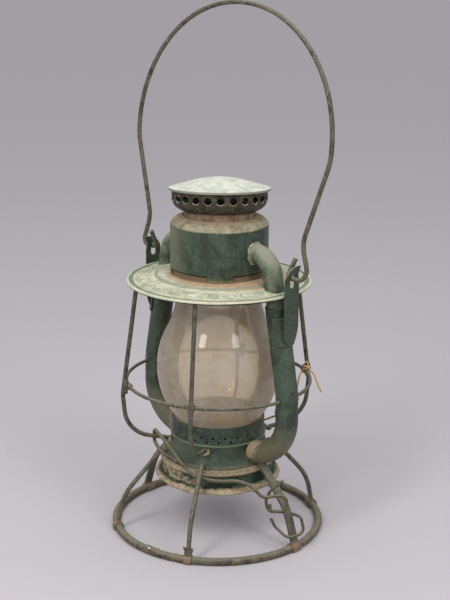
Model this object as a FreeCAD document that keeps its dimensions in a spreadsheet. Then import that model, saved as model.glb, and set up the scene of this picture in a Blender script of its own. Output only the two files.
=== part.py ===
"""Wire-guard tubular hand lantern with a short clear globe.

Frame: +Z up, origin on the axis at the level the lantern stands on. The two side tubes lie in the
XZ plane, the right one on +X. Lengths are millimetres. Driving dimensions sit in the sheet "Size";
outlines are written as expressions of its aliases.
"""

import math
import os
import re

import FreeCAD
import Part
import Sketcher

Vector = FreeCAD.Vector

DIMENSIONS = {
    # sheet metal and running clearances
    "plate": 0.8,
    "gap": 0.05,
    "fit": 0.1,
    # base ring and the flattened loops crimped round it
    "ring_radius": 76.3,
    "ring_wire": 5.6,
    "ring_height": 2.6,
    "crimp_plate": 1.1,
    "crimp_width": 5.0,
    # wires
    "guard_wire": 3.2,
    "leg_wire": 3.4,
    "belt_wire": 2.5,
    "lock_wire": 2.5,
    "clip_wire": 2.2,
    "bail_wire": 3.3,
    "wire_angle": 61.7,
    "wire_pitch": 60.0,
    "strap_width": 7.0,
    "strap_plate": 1.5,
    # dome round the burner and the perforated plate the globe stands on
    "dome_foot": 57.2,
    "dome_foot_radius": 40.6,
    "dome_top": 71.5,
    "dome_top_radius": 34.9,
    "dome_flare": 26.0,
    "plate_top": 86.0,
    "plate_radius": 34.3,
    "plate_opening": 27.0,
    "air_hole": 1.9,
    "air_hole_count": 24,
    # globe
    "globe_height": 108.0,
    "globe_foot_radius": 33.0,
    "globe_belly_radius": 45.1,
    "globe_neck_radius": 29.5,
    "globe_glass": 2.4,
    "belly_curve": 58.0,
    "shoulder_curve": 74.0,
    # side tubes
    "upper_tube": 14.0,
    "lower_tube": 16.2,
    "tube_wall": 0.5,
    "tube_height": 213.0,
    "tube_reach": 49.0,
    "tube_lean": 0.183,
    "seam_height": 178.0,
    "belly_height": 116.0,
    "elbow_height": 71.6,
    "tube_foot_height": 65.2,
    "tube_foot_radius": 35.6,
    # brim and drum
    "brim_radius": 66.7,
    "brim_hole": 30.2,
    "brim_top": 193.7,
    "brim_edge": 187.9,
    "brim_roll": 1.25,
    "drum_radius": 35.2,
    "drum_foot": 193.9,
    "drum_slot": 4.7,
    "collar_rise": 3.8,
    "drum_slot_angle": 60.0,
    "drum_top": 229.0,
    "crown_top": 235.2,
    "crown_hole": 25.9,
    # ears and bail
    "ear_plane": 69.0,
    "ear_plate": 1.2,
    "ear_half_width": 7.0,
    "pivot_height": 201.3,
    "saddle_top": 172.0,
    "saddle_foot": 153.0,
    "bail_half_width": 92.6,
    "bail_rise": 92.0,
    "bail_shoulder": 90.0,
    "bail_lean": 6.0,
    # hood: heights are above its pivot level, and it sits a little askew
    "hood_pivot": 235.0,
    "hood_tilt": 4.8,
    "hood_tilt_axis": 43.5,
    "neck_radius": 25.3,
    "gallery_radius": 34.1,
    "gallery_hole": 5.3,
    "gallery_hole_count": 24,
    "cap_radius": 36.3,
    "cap_edge": 19.3,
    "cap_rise": 7.9,
    "cap_curve": 75.0,
    "bell_radius": 29.6,
    "bell_depth": 39.2,
    "spring_radius": 31.5,
    "spring_wire": 1.6,
    "spring_turns": 5,
    # fount and burner
    "fount_bead_radius": 42.4,
    "fount_radius": 41.2,
    "fount_top": 57.0,
    "fount_foot": 39.8,
    "flange_radius": 46.2,
    "collar_radius": 14.5,
    "burner_radius": 12.6,
    "burner_floor": 61.6,
    "cone_top": 88.5,
    "wick_width": 12.0,
    "wick_thickness": 1.6,
    "wick_top": 86.0,
    "wick_end": 53.5,
    "shaft_height": 68.0,
    "shaft_offset": 3.95,
    "shaft_wire": 1.6,
    "wheel_radius": 3.1,
    "knob_radius": 6.0,
    "knob_place": 66.0,
    "knob_width": 3.0,
    # guard belt
    "belt_height": 113.0,
    "belt_radius": 67.4,
    "belt_angle": 165.0,
}

doc = FreeCAD.newDocument("Lantern")
sheet = doc.addObject("Spreadsheet::Sheet", "Size")
for row, (alias, value) in enumerate(DIMENSIONS.items(), start=1):
    sheet.set(f"A{row}", alias.replace("_", " "))
    sheet.set(f"B{row}", str(value))
    sheet.setAlias(f"B{row}", alias)
doc.recompute()

pieces = []
ALIAS = re.compile(r"[a-z_]+")


def linked(expression):
    """The expression with every alias pointing at the sheet."""
    return ALIAS.sub(
        lambda word: "Size." + word[0] if word[0] in DIMENSIONS else word[0], expression
    )


def size(expression):
    """The number an expression of the sheet's aliases stands for."""
    return float(sheet.evalExpression(expression))


# ---------------------------------------------------------------- sketches


def new_body(label):
    body = doc.addObject("PartDesign::Body", label)
    body.Label = label
    pieces.append(body)
    return body


def new_sketch(body, plane, name, offset=None):
    """A sketch on one of the body's own planes, moved along its normal by an expression."""
    sketch = body.newObject("Sketcher::SketchObject", name)
    support = [item for item in body.Origin.OriginFeatures if item.Role == plane][0]
    sketch.AttachmentSupport = [(support, "")]
    sketch.MapMode = "FlatFace"
    if offset:
        sketch.setExpression("AttachmentOffset.Base.z", linked(offset))
    return sketch


def place_point(sketch, shape, position, x, y):
    """Ties one point of the sketch to the coordinates two expressions give."""
    for axis, expression in (("DistanceX", x), ("DistanceY", y)):
        value = size(expression)
        index = sketch.addConstraint(
            Sketcher.Constraint(axis, -1, 1, shape, position, value)
        )
        sketch.setExpression(f"Constraints[{index}]", linked(expression))


def set_radius(sketch, shape, expression):
    index = sketch.addConstraint(Sketcher.Constraint("Radius", shape, size(expression)))
    sketch.setExpression(f"Constraints[{index}]", linked(expression))


def arc_between(start, end, radius, turn):
    """The short arc from start to end; turn is left or right of the way it goes."""
    chord = end - start
    side = 1.0 if turn.startswith("left") else -1.0
    normal = Vector(-chord.y, chord.x, 0).normalize() * side
    depth = math.sqrt(max(radius**2 - (chord.Length / 2) ** 2, 0.0))
    if turn.endswith("long"):
        depth = -depth
    centre = (start + end) / 2 + normal * depth
    first, last = (start, end) if side > 0 else (end, start)
    angles = [math.atan2(p.y - centre.y, p.x - centre.x) for p in (first, last)]
    circle = Part.Circle(centre, Vector(0, 0, 1), radius)
    return Part.ArcOfCircle(circle, angles[0], angles[1])


def draw_outline(sketch, outline):
    """A closed outline of (x, y) corners; (x, y, radius, turn) is reached by an arc."""
    corners = [Vector(size(item[0]), size(item[1]), 0) for item in outline]
    count = len(outline)
    shapes = []
    for index, item in enumerate(outline):
        start = corners[index - 1]
        if len(item) == 4:
            curve = arc_between(start, corners[index], size(item[2]), item[3])
            ends = (1, 2) if item[3].startswith("left") else (2, 1)
        else:
            curve = Part.LineSegment(start, corners[index])
            ends = (1, 2)
        shapes.append((sketch.addGeometry(curve, False), ends))
        if len(item) == 4:
            set_radius(sketch, shapes[-1][0], item[2])
    for index, item in enumerate(outline):
        shape, ends = shapes[index]
        following, following_ends = shapes[(index + 1) % count]
        sketch.addConstraint(
            Sketcher.Constraint("Coincident", shape, ends[1], following, following_ends[0])
        )
        place_point(sketch, shape, ends[1], item[0], item[1])


def draw_circle(sketch, x, y, diameter):
    circle = Part.Circle(Vector(size(x), size(y), 0), Vector(0, 0, 1), size(diameter) / 2)
    shape = sketch.addGeometry(circle, False)
    place_point(sketch, shape, 3, x, y)
    set_radius(sketch, shape, f"({diameter}) / 2")


def draw_path(sketch, corners):
    """Straight runs joined by tangent bends: (x, y) ends and (x, y, bend radius) corners."""
    points = [Vector(size(item[0]), size(item[1]), 0) for item in corners]
    cuts = [(points[0], points[0])]
    for index in range(1, len(points) - 1):
        before = (points[index] - points[index - 1]).normalize()
        after = (points[index + 1] - points[index]).normalize()
        reach = size(corners[index][2]) * math.tan(before.getAngle(after) / 2)
        cuts.append((points[index] - before * reach, points[index] + after * reach))
    cuts.append((points[-1], points[-1]))
    lines = []
    for index in range(len(points) - 1):
        line = Part.LineSegment(cuts[index][1], cuts[index + 1][0])
        lines.append(sketch.addGeometry(line, False))
    place_point(sketch, lines[0], 1, corners[0][0], corners[0][1])
    place_point(sketch, lines[-1], 2, corners[-1][0], corners[-1][1])
    for index in range(1, len(points) - 1):
        before, after = lines[index - 1], lines[index]
        leaving = points[index] - points[index - 1]
        coming = points[index + 1] - points[index]
        left = leaving.x * coming.y - leaving.y * coming.x > 0
        start, end = cuts[index]
        radius = size(corners[index][2])
        arc = sketch.addGeometry(arc_between(start, end, radius, "left" if left else "right"))
        first, last = (1, 2) if left else (2, 1)
        sketch.addConstraint(Sketcher.Constraint("Tangent", before, 2, arc, first))
        sketch.addConstraint(Sketcher.Constraint("Tangent", arc, last, after, 1))
        set_radius(sketch, arc, corners[index][2])
        corner = sketch.addGeometry(Part.Point(points[index]), True)
        sketch.addConstraint(Sketcher.Constraint("PointOnObject", corner, 1, before))
        sketch.addConstraint(Sketcher.Constraint("PointOnObject", corner, 1, after))
        place_point(sketch, corner, 1, corners[index][0], corners[index][1])


# ---------------------------------------------------------------- features


def revolve(body, outline, name="profile", angle=None):
    """Turns an outline of (radius, height) corners round the body's Z axis."""
    sketch = new_sketch(body, "XZ_Plane", name)
    draw_outline(sketch, outline)
    turned = body.newObject("PartDesign::Revolution", name + "_turned")
    turned.Profile = sketch
    turned.ReferenceAxis = (sketch, ["V_Axis"])
    turned.Angle = 360.0
    if angle:
        turned.Midplane = True
        turned.setExpression("Angle", linked(angle))
    return turned


def groove(body, outline, name):
    """Cuts an outline turned round the body's Z axis out of the body."""
    sketch = new_sketch(body, "XZ_Plane", name + "_outline")
    draw_outline(sketch, outline)
    cut = body.newObject("PartDesign::Groove", name)
    cut.Profile = sketch
    cut.ReferenceAxis = (sketch, ["V_Axis"])
    cut.Angle = 360.0
    return cut


def pad(body, plane, outline, length, name="plate_outline", offset=None, holes=()):
    """Pads an outline evenly to both sides of a plane."""
    sketch = new_sketch(body, plane, name, offset)
    draw_outline(sketch, outline)
    for hole in holes:
        draw_outline(sketch, hole)
    raised = body.newObject("PartDesign::Pad", name + "_padded")
    raised.Profile = sketch
    raised.Midplane = True
    raised.setExpression("Length", linked(length))
    return raised


def pocket(body, plane, draw, length, name, offset=None, both=False, flip=False):
    """Cuts what draw puts in the sketch out of the body."""
    sketch = new_sketch(body, plane, name, offset)
    draw(sketch)
    doc.recompute()
    before = body.Shape.Volume
    cut = body.newObject("PartDesign::Pocket", name + "_cut")
    cut.Profile = sketch
    cut.Midplane = both
    cut.Reversed = flip
    cut.setExpression("Length", linked(length))
    doc.recompute()
    if body.Shape.Volume >= before - 0.01:
        raise RuntimeError(f"{body.Label}: {name} cuts nothing")
    return cut


def pattern(body, feature, count, name):
    """Repeats a feature evenly round the Z axis."""
    axis = [item for item in body.Origin.OriginFeatures if item.Role == "Z_Axis"][0]
    ring = body.newObject("PartDesign::PolarPattern", name)
    ring.Originals = [feature]
    ring.Axis = (axis, [""])
    ring.Angle = 360.0
    ring.setExpression("Occurrences", linked(count))
    body.Tip = ring
    return ring


def sweep(body, corners, draw_section, start_plane):
    """Sweeps a section drawn at the start of a path that lies in the XZ plane."""
    path = new_sketch(body, "XZ_Plane", "path")
    draw_path(path, corners)
    place = corners[0][1] if start_plane == "XY_Plane" else corners[0][0]
    section = new_sketch(body, start_plane, "section", offset=place)
    draw_section(section)
    doc.recompute()
    swept = body.newObject("PartDesign::AdditivePipe", "swept")
    swept.Profile = section
    swept.Spine = (path, [""])
    return swept


def round_section(corners, start_plane, *diameters):
    """Draws circles centred on the start of a path."""

    def draw(sketch):
        x, y = (corners[0][0], "0") if start_plane == "XY_Plane" else ("0", corners[0][1])
        for diameter in diameters:
            draw_circle(sketch, x, y, diameter)

    return draw


def turn_about_z(body, expression):
    """Turns a finished body about the lantern's axis."""
    body.Placement = FreeCAD.Placement(
        Vector(), FreeCAD.Rotation(Vector(0, 0, 1), size(expression))
    )
    body.setExpression("Placement.Rotation.Angle", linked(expression))


def shell(points, radial="-plate", vertical="-plate"):
    """A sheet-metal outline: outer points, then the same points moved by the thickness."""
    inner = [(f"{x[0]} + ({radial})", f"{x[1]} + ({vertical})") for x in reversed(points)]
    return list(points) + inner


def flat_section(corners, width, thickness):
    """Draws a rectangle at the start of a path that leaves along +X."""

    def draw(sketch):
        middle = corners[0][1]
        half = f"{width} / 2"
        draw_outline(
            sketch,
            [
                (f"-({half})", f"{middle} - {thickness} / 2"),
                (half, f"{middle} - {thickness} / 2"),
                (half, f"{middle} + {thickness} / 2"),
                (f"-({half})", f"{middle} + {thickness} / 2"),
            ],
        )

    return draw


def crimp_outline():
    """A flat loop that hugs the base ring's wire and is worn level with its underside."""
    inner = "(ring_wire / 2 + gap)"
    outer = "(ring_wire / 2 + gap + crimp_plate)"
    reach_in = f"sqrt({inner}^2 - ring_height^2)"
    reach_out = f"sqrt({outer}^2 - ring_height^2)"
    return [
        (f"ring_radius + {reach_in}", "0", inner, "right long"),
        (f"ring_radius + {reach_out}", "0"),
        (f"ring_radius - {reach_out}", "0", outer, "left long"),
        (f"ring_radius - {reach_in}", "0"),
    ]


# ---------------------------------------------------------------- base ring and legs


def base_ring():
    """Wire hoop, worn flat underneath."""
    hoop = doc.addObject("Part::Torus", "hoop")
    hoop.setExpression("Radius1", linked("ring_radius"))
    hoop.setExpression("Radius2", linked("ring_wire / 2"))
    hoop.setExpression("Placement.Base.z", linked("ring_height"))
    above = doc.addObject("Part::Cylinder", "above_floor")
    above.setExpression("Radius", linked("ring_radius + ring_wire"))
    above.setExpression("Height", linked("ring_wire * 2"))
    ring = doc.addObject("Part::Common", "base_ring")
    ring.Base = hoop
    ring.Tool = above
    ring.Label = "base_ring"
    pieces.append(ring)


def leg_wire(label, angle):
    """Round leg from the dome's foot to the ring, its end flattened round the ring."""
    body = new_body(label)
    corners = [
        ("dome_foot_radius - 1.4", "dome_foot + 2.3"),
        ("dome_foot_radius + 3.0", "dome_foot + 2.3", "leg_wire"),
        ("ring_radius - 4.5", "27", "40"),
        ("ring_radius", "ring_height + ring_wire / 2 + gap"),
    ]
    sweep(body, corners, round_section(corners, "YZ_Plane", "leg_wire"), "YZ_Plane")
    pad(body, "XZ_Plane", crimp_outline(), "crimp_width", "crimp")
    turn_about_z(body, angle)


def strap_leg(label, angle):
    """Flat leg under a side tube."""
    body = new_body(label)
    corners = [
        ("dome_foot_radius - 1.2", "dome_foot + 2.6"),
        ("dome_foot_radius + 2.2", "dome_foot + 2.6", "3"),
        ("ring_radius - 7.8", "31", "35"),
        ("ring_radius + 0.6", "ring_height + ring_wire / 2 + 0.7"),
    ]
    sweep(body, corners, flat_section(corners, "strap_width", "strap_plate"), "YZ_Plane")
    pad(body, "XZ_Plane", crimp_outline(), "strap_width", "crimp")
    turn_about_z(body, angle)


def guard_upright(label, angle):
    """Guard wire from the brim, round the belly of the cage, into the dome's top."""
    body = new_body(label)
    corners = [
        ("60.3", "brim_edge + 0.2"),
        ("71.4", "106", "30"),
        ("68.6", "76", "23"),
        ("dome_top_radius - 0.4", "68.8"),
    ]
    sweep(body, corners, round_section(corners, "XY_Plane", "guard_wire"), "XY_Plane")
    turn_about_z(body, angle)


def guard_belt(label, angle):
    """Half hoop inside the uprights, its ends soldered to the side tubes."""
    body = new_body(label)
    sketch = new_sketch(body, "XZ_Plane", "wire")
    draw_circle(sketch, "belt_radius", "belt_height", "belt_wire")
    bent = body.newObject("PartDesign::Revolution", "belt")
    bent.Profile = sketch
    bent.ReferenceAxis = (sketch, ["V_Axis"])
    bent.Midplane = True
    bent.setExpression("Angle", linked("belt_angle"))
    turn_about_z(body, angle)


# ---------------------------------------------------------------- chamber, globe and tubes


def lower_dome():
    """Flared chamber round the burner, open below, with mouths for the tubes and the shaft."""
    body = new_body("lower_dome")
    outline = [
        ("dome_top_radius", "dome_top"),
        ("plate_opening", "dome_top"),
        ("plate_opening", "dome_top - plate"),
        ("dome_top_radius - plate", "dome_top - plate"),
        ("dome_top_radius - plate", "dome_top - 3.5"),
        ("dome_foot_radius - plate", "dome_foot", "dome_flare + plate", "left"),
        ("dome_foot_radius", "dome_foot"),
        ("dome_top_radius", "dome_top - 3.5", "dome_flare", "right"),
    ]
    revolve(body, outline)
    mouth = "lower_tube - 2 * tube_wall - 3.2"
    pocket(
        body,
        "YZ_Plane",
        lambda sketch: draw_circle(sketch, "0", "64", mouth),
        "4 * dome_foot_radius",
        "tube_mouths",
        both=True,
    )
    slot = [
        ("shaft_offset - 1.3", "dome_foot - 1"),
        ("shaft_offset + 1.3", "dome_foot - 1"),
        ("shaft_offset + 1.3", "shaft_height + 1.4"),
        ("shaft_offset - 1.3", "shaft_height + 1.4"),
    ]
    pocket(
        body,
        "XZ_Plane",
        lambda sketch: draw_outline(sketch, slot),
        "2 * dome_foot_radius",
        "shaft_slot",
        flip=False,
    )


def globe_plate():
    """Perforated cup whose inner shelf carries the globe."""
    body = new_body("globe_plate")
    shelf = "plate_top - 1.2"
    outline = [
        ("plate_radius + 0.8", "dome_top"),
        ("plate_radius + 0.8", "dome_top + 1", "0.6", "left"),
        ("plate_radius", "dome_top + 1.1"),
        ("plate_radius", "plate_top"),
        ("plate_radius - plate", "plate_top"),
        ("plate_radius - plate", shelf),
        ("plate_opening", shelf),
        ("plate_opening", f"{shelf} - plate"),
        ("plate_radius - plate", f"{shelf} - plate"),
        ("plate_radius - plate", "dome_top"),
    ]
    revolve(body, outline)
    for place, height in enumerate(("dome_top + 3.4", "dome_top + 6.4")):
        across = f"plate_radius * sin({place} * 180 / air_hole_count)"
        hole = pocket(
            body,
            "YZ_Plane",
            lambda sketch: draw_circle(sketch, across, height, "air_hole"),
            "plate_radius * 2",
            f"air_hole_{place}",
            flip=True,
        )
        pattern(body, hole, "air_hole_count", f"air_holes_{place}")


def globe():
    """Short globe: upright foot, round belly, hollow shoulder and upright neck."""
    body = new_body("globe")
    foot = "(plate_top - 1.2)"
    belly = f"{foot} + 38"
    shoulder = f"{foot} + 66"
    shoulder_radius = "38.6"
    neck = f"{foot} + 101"
    glass = "globe_glass"
    outline = [
        (f"globe_foot_radius - {glass}", foot),
        ("globe_foot_radius", foot),
        ("globe_foot_radius", f"{foot} + 2"),
        ("globe_belly_radius", belly, "belly_curve", "left"),
        (shoulder_radius, shoulder, "belly_curve", "left"),
        ("globe_neck_radius", neck, "shoulder_curve", "right"),
        ("globe_neck_radius", f"{foot} + globe_height"),
        (f"globe_neck_radius - {glass}", f"{foot} + globe_height"),
        (f"globe_neck_radius - {glass}", neck),
        (f"{shoulder_radius} - {glass}", shoulder, f"shoulder_curve + {glass}", "left"),
        (f"globe_belly_radius - {glass}", belly, f"belly_curve - {glass}", "right"),
        (f"globe_foot_radius - {glass}", f"{foot} + 2", f"belly_curve - {glass}", "right"),
    ]
    revolve(body, outline)


def tube_line(height):
    """Radius of a side tube's straight run at a height."""
    return f"(tube_reach + tube_lean * (tube_height - ({height})))"


def tube_upper(label, angle):
    """Pipe from the drum, through the brim, into the top of the lower pipe."""
    body = new_body(label)
    end = "seam_height - 9"
    corners = [
        ("drum_radius - 1.8", "tube_height"),
        ("tube_reach", "tube_height", "16"),
        (tube_line(end), end),
    ]
    section = round_section(corners, "YZ_Plane", "upper_tube", "upper_tube - 2 * tube_wall")
    sweep(body, corners, section, "YZ_Plane")
    turn_about_z(body, angle)


def tube_lower(label, angle):
    """Pipe from the seam, round the belly, into the dome."""
    body = new_body(label)
    corners = [
        (tube_line("seam_height"), "seam_height"),
        (tube_line("belly_height"), "belly_height", "60"),
        (f"{tube_line('belly_height')} + 0.5", "elbow_height", "31"),
        ("tube_foot_radius", "tube_foot_height"),
    ]
    section = round_section(corners, "XY_Plane", "lower_tube", "lower_tube - 2 * tube_wall")
    sweep(body, corners, section, "XY_Plane")
    room = [
        ("0", "dome_foot - 8"),
        ("fount_bead_radius + 0.8", "dome_foot - 8"),
        ("fount_bead_radius + 0.8", "fount_top + 0.9"),
        ("30", "fount_top + 0.9"),
        ("30", "dome_top - 0.2"),
        ("plate_radius + 1.1", "dome_top - 0.2"),
        ("plate_radius + 1.1", "plate_top"),
        ("0", "plate_top"),
    ]
    groove(body, room, "fount_room")
    turn_about_z(body, angle)


# ---------------------------------------------------------------- brim, drum and ears


def brim():
    """Dished plate with a low step, a shallow gutter and a rolled rim."""
    body = new_body("brim")
    roll = "brim_radius - brim_roll"
    collar = "drum_radius - 1.0"
    top = [
        ("brim_hole", "brim_top"),
        (f"{collar} - 0.5", "brim_top"),
        (f"{collar} - 0.5", "brim_top + collar_rise"),
        (collar, "brim_top + collar_rise"),
        (collar, "brim_top - 0.02"),
        ("44", "brim_top - 0.7"),
        ("46.5", "brim_top - 2.0"),
        ("62.6", "brim_edge + 1.0"),
        (roll, "brim_edge"),
    ]
    flat = [top[0]] + top[5:]
    under = [(x, f"{y} - plate") for x, y in reversed(flat)]
    revolve(body, top + under)
    rim = new_sketch(body, "XZ_Plane", "rim")
    draw_circle(rim, roll, "brim_edge", "2 * brim_roll")
    rolled = body.newObject("PartDesign::Revolution", "rolled_rim")
    rolled.Profile = rim
    rolled.ReferenceAxis = (rim, ["V_Axis"])
    rolled.Angle = 360.0
    across = tube_line("brim_edge + 2")

    def tube_holes(sketch):
        for side in ("", "-"):
            draw_circle(sketch, f"{side}{across}", "0", "upper_tube + 1.3")

    pocket(body, "XY_Plane", tube_holes, "20", "tube_holes", offset="brim_top", both=True)


def drum():
    """Plain cylinder that stands on four feet with air slots between them."""
    body = new_body("drum")
    outline = shell([("drum_radius", "drum_foot"), ("drum_radius", "drum_top")], vertical="0")
    revolve(body, outline)
    reach = "drum_radius * 1.4"
    wedge = [
        ("0", "0"),
        (reach, f"-{reach} * tan(drum_slot_angle / 2)"),
        (reach, f"{reach} * tan(drum_slot_angle / 2)"),
    ]
    slot = pocket(
        body,
        "XY_Plane",
        lambda sketch: draw_outline(sketch, wedge),
        "drum_slot",
        "air_slot",
        offset="drum_foot",
        flip=True,
    )
    pattern(body, slot, "4", "air_slots")
    pocket(
        body,
        "YZ_Plane",
        lambda sketch: draw_circle(sketch, "0", "tube_height", "upper_tube + 2 * gap"),
        "4 * drum_radius",
        "tube_holes",
        both=True,
    )


def drum_crown():
    """Rounded shoulder seamed on the drum, with a hole for the neck."""
    body = new_body("drum_crown")
    outline = [
        ("drum_radius", "drum_top"),
        ("drum_radius - 5.5", "crown_top - 1.0", "7.5", "left"),
        ("crown_hole", "crown_top"),
        ("crown_hole", "crown_top - plate"),
        ("drum_radius - 5.7", "crown_top - 1.0 - plate"),
        ("drum_radius - plate", "drum_top", "7.5 - plate", "right"),
    ]
    revolve(body, outline)


def ear(label, angle):
    """Punched strip with a hooked top, on a saddle bent round the side tube."""
    body = new_body(label)
    half = "ear_half_width"
    strip = [
        (f"-{half}", "saddle_foot + 7"),
        ("-2.5", "saddle_foot + 0.5", "9", "left"),
        ("2.5", "saddle_foot + 0.5"),
        (half, "saddle_foot + 16", "30", "left"),
        (half, "pivot_height - 2.5"),
        (f"{half} - 1.2", "pivot_height + 2.6"),
        (f"{half} + 1.6", "pivot_height + 7.6"),
        (f"-{half} + 6", "pivot_height + 6.2", "16", "left"),
        (f"-{half}", "pivot_height - 2", "11", "left"),
    ]
    hole = [
        ("-2.7", "pivot_height - 5"),
        ("2.7", "pivot_height - 5", "2.8", "left"),
        ("2.7", "pivot_height"),
        ("-2.7", "pivot_height", "2.8", "left"),
    ]
    pad(body, "YZ_Plane", strip, "ear_plate", "strip", offset="ear_plane", holes=[hole])
    inner = "(lower_tube / 2 + gap)"
    outer = "(lower_tube / 2 + gap + 1.2)"
    middle = tube_line("saddle_top")
    wrap = [
        (f"{middle} + {inner} * cos(75)", f"-{inner} * sin(75)"),
        (f"{middle} + {outer} * cos(75)", f"-{outer} * sin(75)"),
        (f"{middle} + {outer} * cos(75)", f"{outer} * sin(75)", outer, "left"),
        (f"{middle} + {inner} * cos(75)", f"{inner} * sin(75)"),
    ]
    wrap[0] = wrap[0] + (inner, "right")
    path = new_sketch(body, "XZ_Plane", "tube_line")
    draw_path(path, [(middle, "saddle_top"), (tube_line("saddle_foot"), "saddle_foot")])
    section = new_sketch(body, "XY_Plane", "saddle_section", offset="saddle_top")
    draw_outline(section, wrap)
    doc.recompute()
    saddle = body.newObject("PartDesign::AdditivePipe", "saddle")
    saddle.Profile = section
    saddle.Spine = (path, [""])
    turn_about_z(body, angle)


# ---------------------------------------------------------------- hood


def tilt_hood(body):
    """Stands a hood piece askew about the crown's opening."""
    angle = math.radians(size("hood_tilt_axis"))
    axis = Vector(math.cos(angle), math.sin(angle), 0)
    body.Placement = FreeCAD.Placement(
        Vector(0, 0, size("hood_pivot")), FreeCAD.Rotation(axis, -size("hood_tilt"))
    )
    body.setExpression("Placement.Base.z", linked("hood_pivot"))


def cap():
    """Low domed cap with a turned edge; its crown is part of a sphere."""
    body = new_body("cap")
    centre = "cap_edge + cap_rise - cap_curve"
    outer = f"{centre} + sqrt(cap_curve^2 - 24^2)"
    inner = f"{centre} + sqrt((cap_curve - plate)^2 - 24^2)"
    outline = [
        ("0", "cap_edge + cap_rise - plate"),
        ("24", inner, "cap_curve - plate", "right"),
        ("cap_radius - 3.2", "cap_edge + 1.5 - plate"),
        ("cap_radius - 0.9", "cap_edge - 0.5"),
        ("cap_radius - 0.9", "cap_edge - 1.1"),
        ("cap_radius", "cap_edge - 1.1"),
        ("cap_radius", "cap_edge + 0.4"),
        ("cap_radius - 3.2", "cap_edge + 1.5"),
        ("24", outer),
        ("0", "cap_edge + cap_rise", "cap_curve", "left"),
    ]
    revolve(body, outline)
    tilt_hood(body)


def cap_gallery():
    """Bowl with a ring of round air holes under the cap."""
    body = new_body("cap_gallery")
    outline = [
        ("neck_radius + gap", "2.8"),
        ("neck_radius + 3.4", "4.6"),
        ("gallery_radius", "12.2", "9", "left"),
        ("gallery_radius", "cap_edge - 0.2"),
        ("gallery_radius - plate", "cap_edge - 0.2"),
        ("gallery_radius - plate", "12.2"),
        ("neck_radius + 3.2", "4.6 + plate", "8.2", "right"),
        ("neck_radius + gap", "2.8 + plate"),
    ]
    revolve(body, outline)
    hole = pocket(
        body,
        "YZ_Plane",
        lambda sketch: draw_circle(sketch, "0", "13.1", "gallery_hole"),
        "gallery_radius * 2",
        "gallery_hole",
        flip=True,
    )
    pattern(body, hole, "gallery_hole_count", "gallery_holes")
    tilt_hood(body)


def chimney_neck():
    """Sliding tube between the cap and the globe bell."""
    body = new_body("chimney_neck")
    tube = [("neck_radius", "1.1 - bell_depth"), ("neck_radius", "7")]
    revolve(body, shell(tube, vertical="0"))
    tilt_hood(body)


def globe_bell():
    """Flat flanged ring that presses on the globe."""
    body = new_body("globe_bell")
    outline = [
        ("neck_radius + gap", "-bell_depth"),
        ("bell_radius", "-bell_depth"),
        ("bell_radius", "1 - bell_depth"),
        ("neck_radius + gap + 0.8", "1 - bell_depth"),
        ("neck_radius + gap + 0.8", "6 - bell_depth"),
        ("neck_radius + gap", "6 - bell_depth"),
    ]
    revolve(body, outline)
    tilt_hood(body)


# ---------------------------------------------------------------- freely bent wires


def bent_wire(label, corners, diameter):
    """Round wire of straight runs and tangent bends: (point, bend radius) corners in space."""
    points = [Vector(point) for point, _ in corners]
    disc = diameter / 2
    solids = []
    run_start = points[0]
    for index in range(1, len(points)):
        along = (points[index] - points[index - 1]).normalize()
        run_end = points[index]
        if index < len(points) - 1:
            after = (points[index + 1] - points[index]).normalize()
            turn = along.getAngle(after)
            bend = corners[index][1]
            reach = bend * math.tan(turn / 2)
            run_end = points[index] - along * reach
            axis = along.cross(after).normalize()
            centre = run_end + axis.cross(along) * bend
            section = Part.Face(Part.Wire(Part.Circle(run_end, along, disc).toShape()))
            solids.append(section.revolve(centre, axis, math.degrees(turn)))
        length = (run_end - run_start).Length
        if length > 0.001:
            solids.append(Part.makeCylinder(disc, length, run_start, along))
        if index < len(points) - 1:
            run_start = points[index] + after * reach
    feature = doc.addObject("Part::Feature", label)
    feature.Label = label
    feature.Shape = solids[0].multiFuse(solids[1:]).removeSplitter()
    pieces.append(feature)
    return feature


def polar(angle, radius, height):
    turn = math.radians(angle)
    return Vector(radius * math.cos(turn), radius * math.sin(turn), height)


def hood_spring():
    """Open coil in the drum, four bends to a turn."""
    turns = int(size("spring_turns"))
    foot = size("drum_foot + 7")
    pitch = (size("drum_top - 4") - foot) / turns
    radius = size("spring_radius")
    corners = []
    for step in range(4 * turns + 1):
        place = polar(90 * step + 45, radius * math.sqrt(2), foot + pitch * step / 4)
        corners.append((place, radius))
    first = (corners[0][0] + corners[1][0]) / 2
    last = (corners[-1][0] + corners[-2][0]) / 2
    corners = [(first, 0)] + corners[1:-1] + [(last, 0)]
    bent_wire("hood_spring", corners, size("spring_wire"))


def bail():
    """Carrying hoop: round top, waisted legs, and ends hooked through the ears."""
    wide = size("bail_half_width")
    top = size("bail_shoulder + bail_rise")
    plane = size("ear_plane")
    leg = [
        (Vector(plane - 4.6, 7.5, 12.2), 0),
        (Vector(plane - 4.6, 0, 0), 2.6),
        (Vector(plane + 15.5, 0, -1.2), 7.5),
        (Vector(plane + 6.2, 0, 25), 22),
        (Vector(wide, 0, size("bail_shoulder") - 8), 40),
        (Vector(wide, 0, top), wide - 0.5),
    ]
    other = [(Vector(-place.x, -place.y, place.z), bend) for place, bend in reversed(leg)]
    other[-3] = (Vector(-plane - 11.5, 0, -1.2), 5.5)
    other[-4] = (Vector(-plane - 5.0, 0, 22), 22)
    feature = bent_wire("bail", leg + other, size("bail_wire"))
    feature.Placement = FreeCAD.Placement(
        Vector(0, 0, size("pivot_height")),
        FreeCAD.Rotation(Vector(1, 0, 0), -size("bail_lean")),
    )
    feature.setExpression("Placement.Base.z", linked("pivot_height"))


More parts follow.
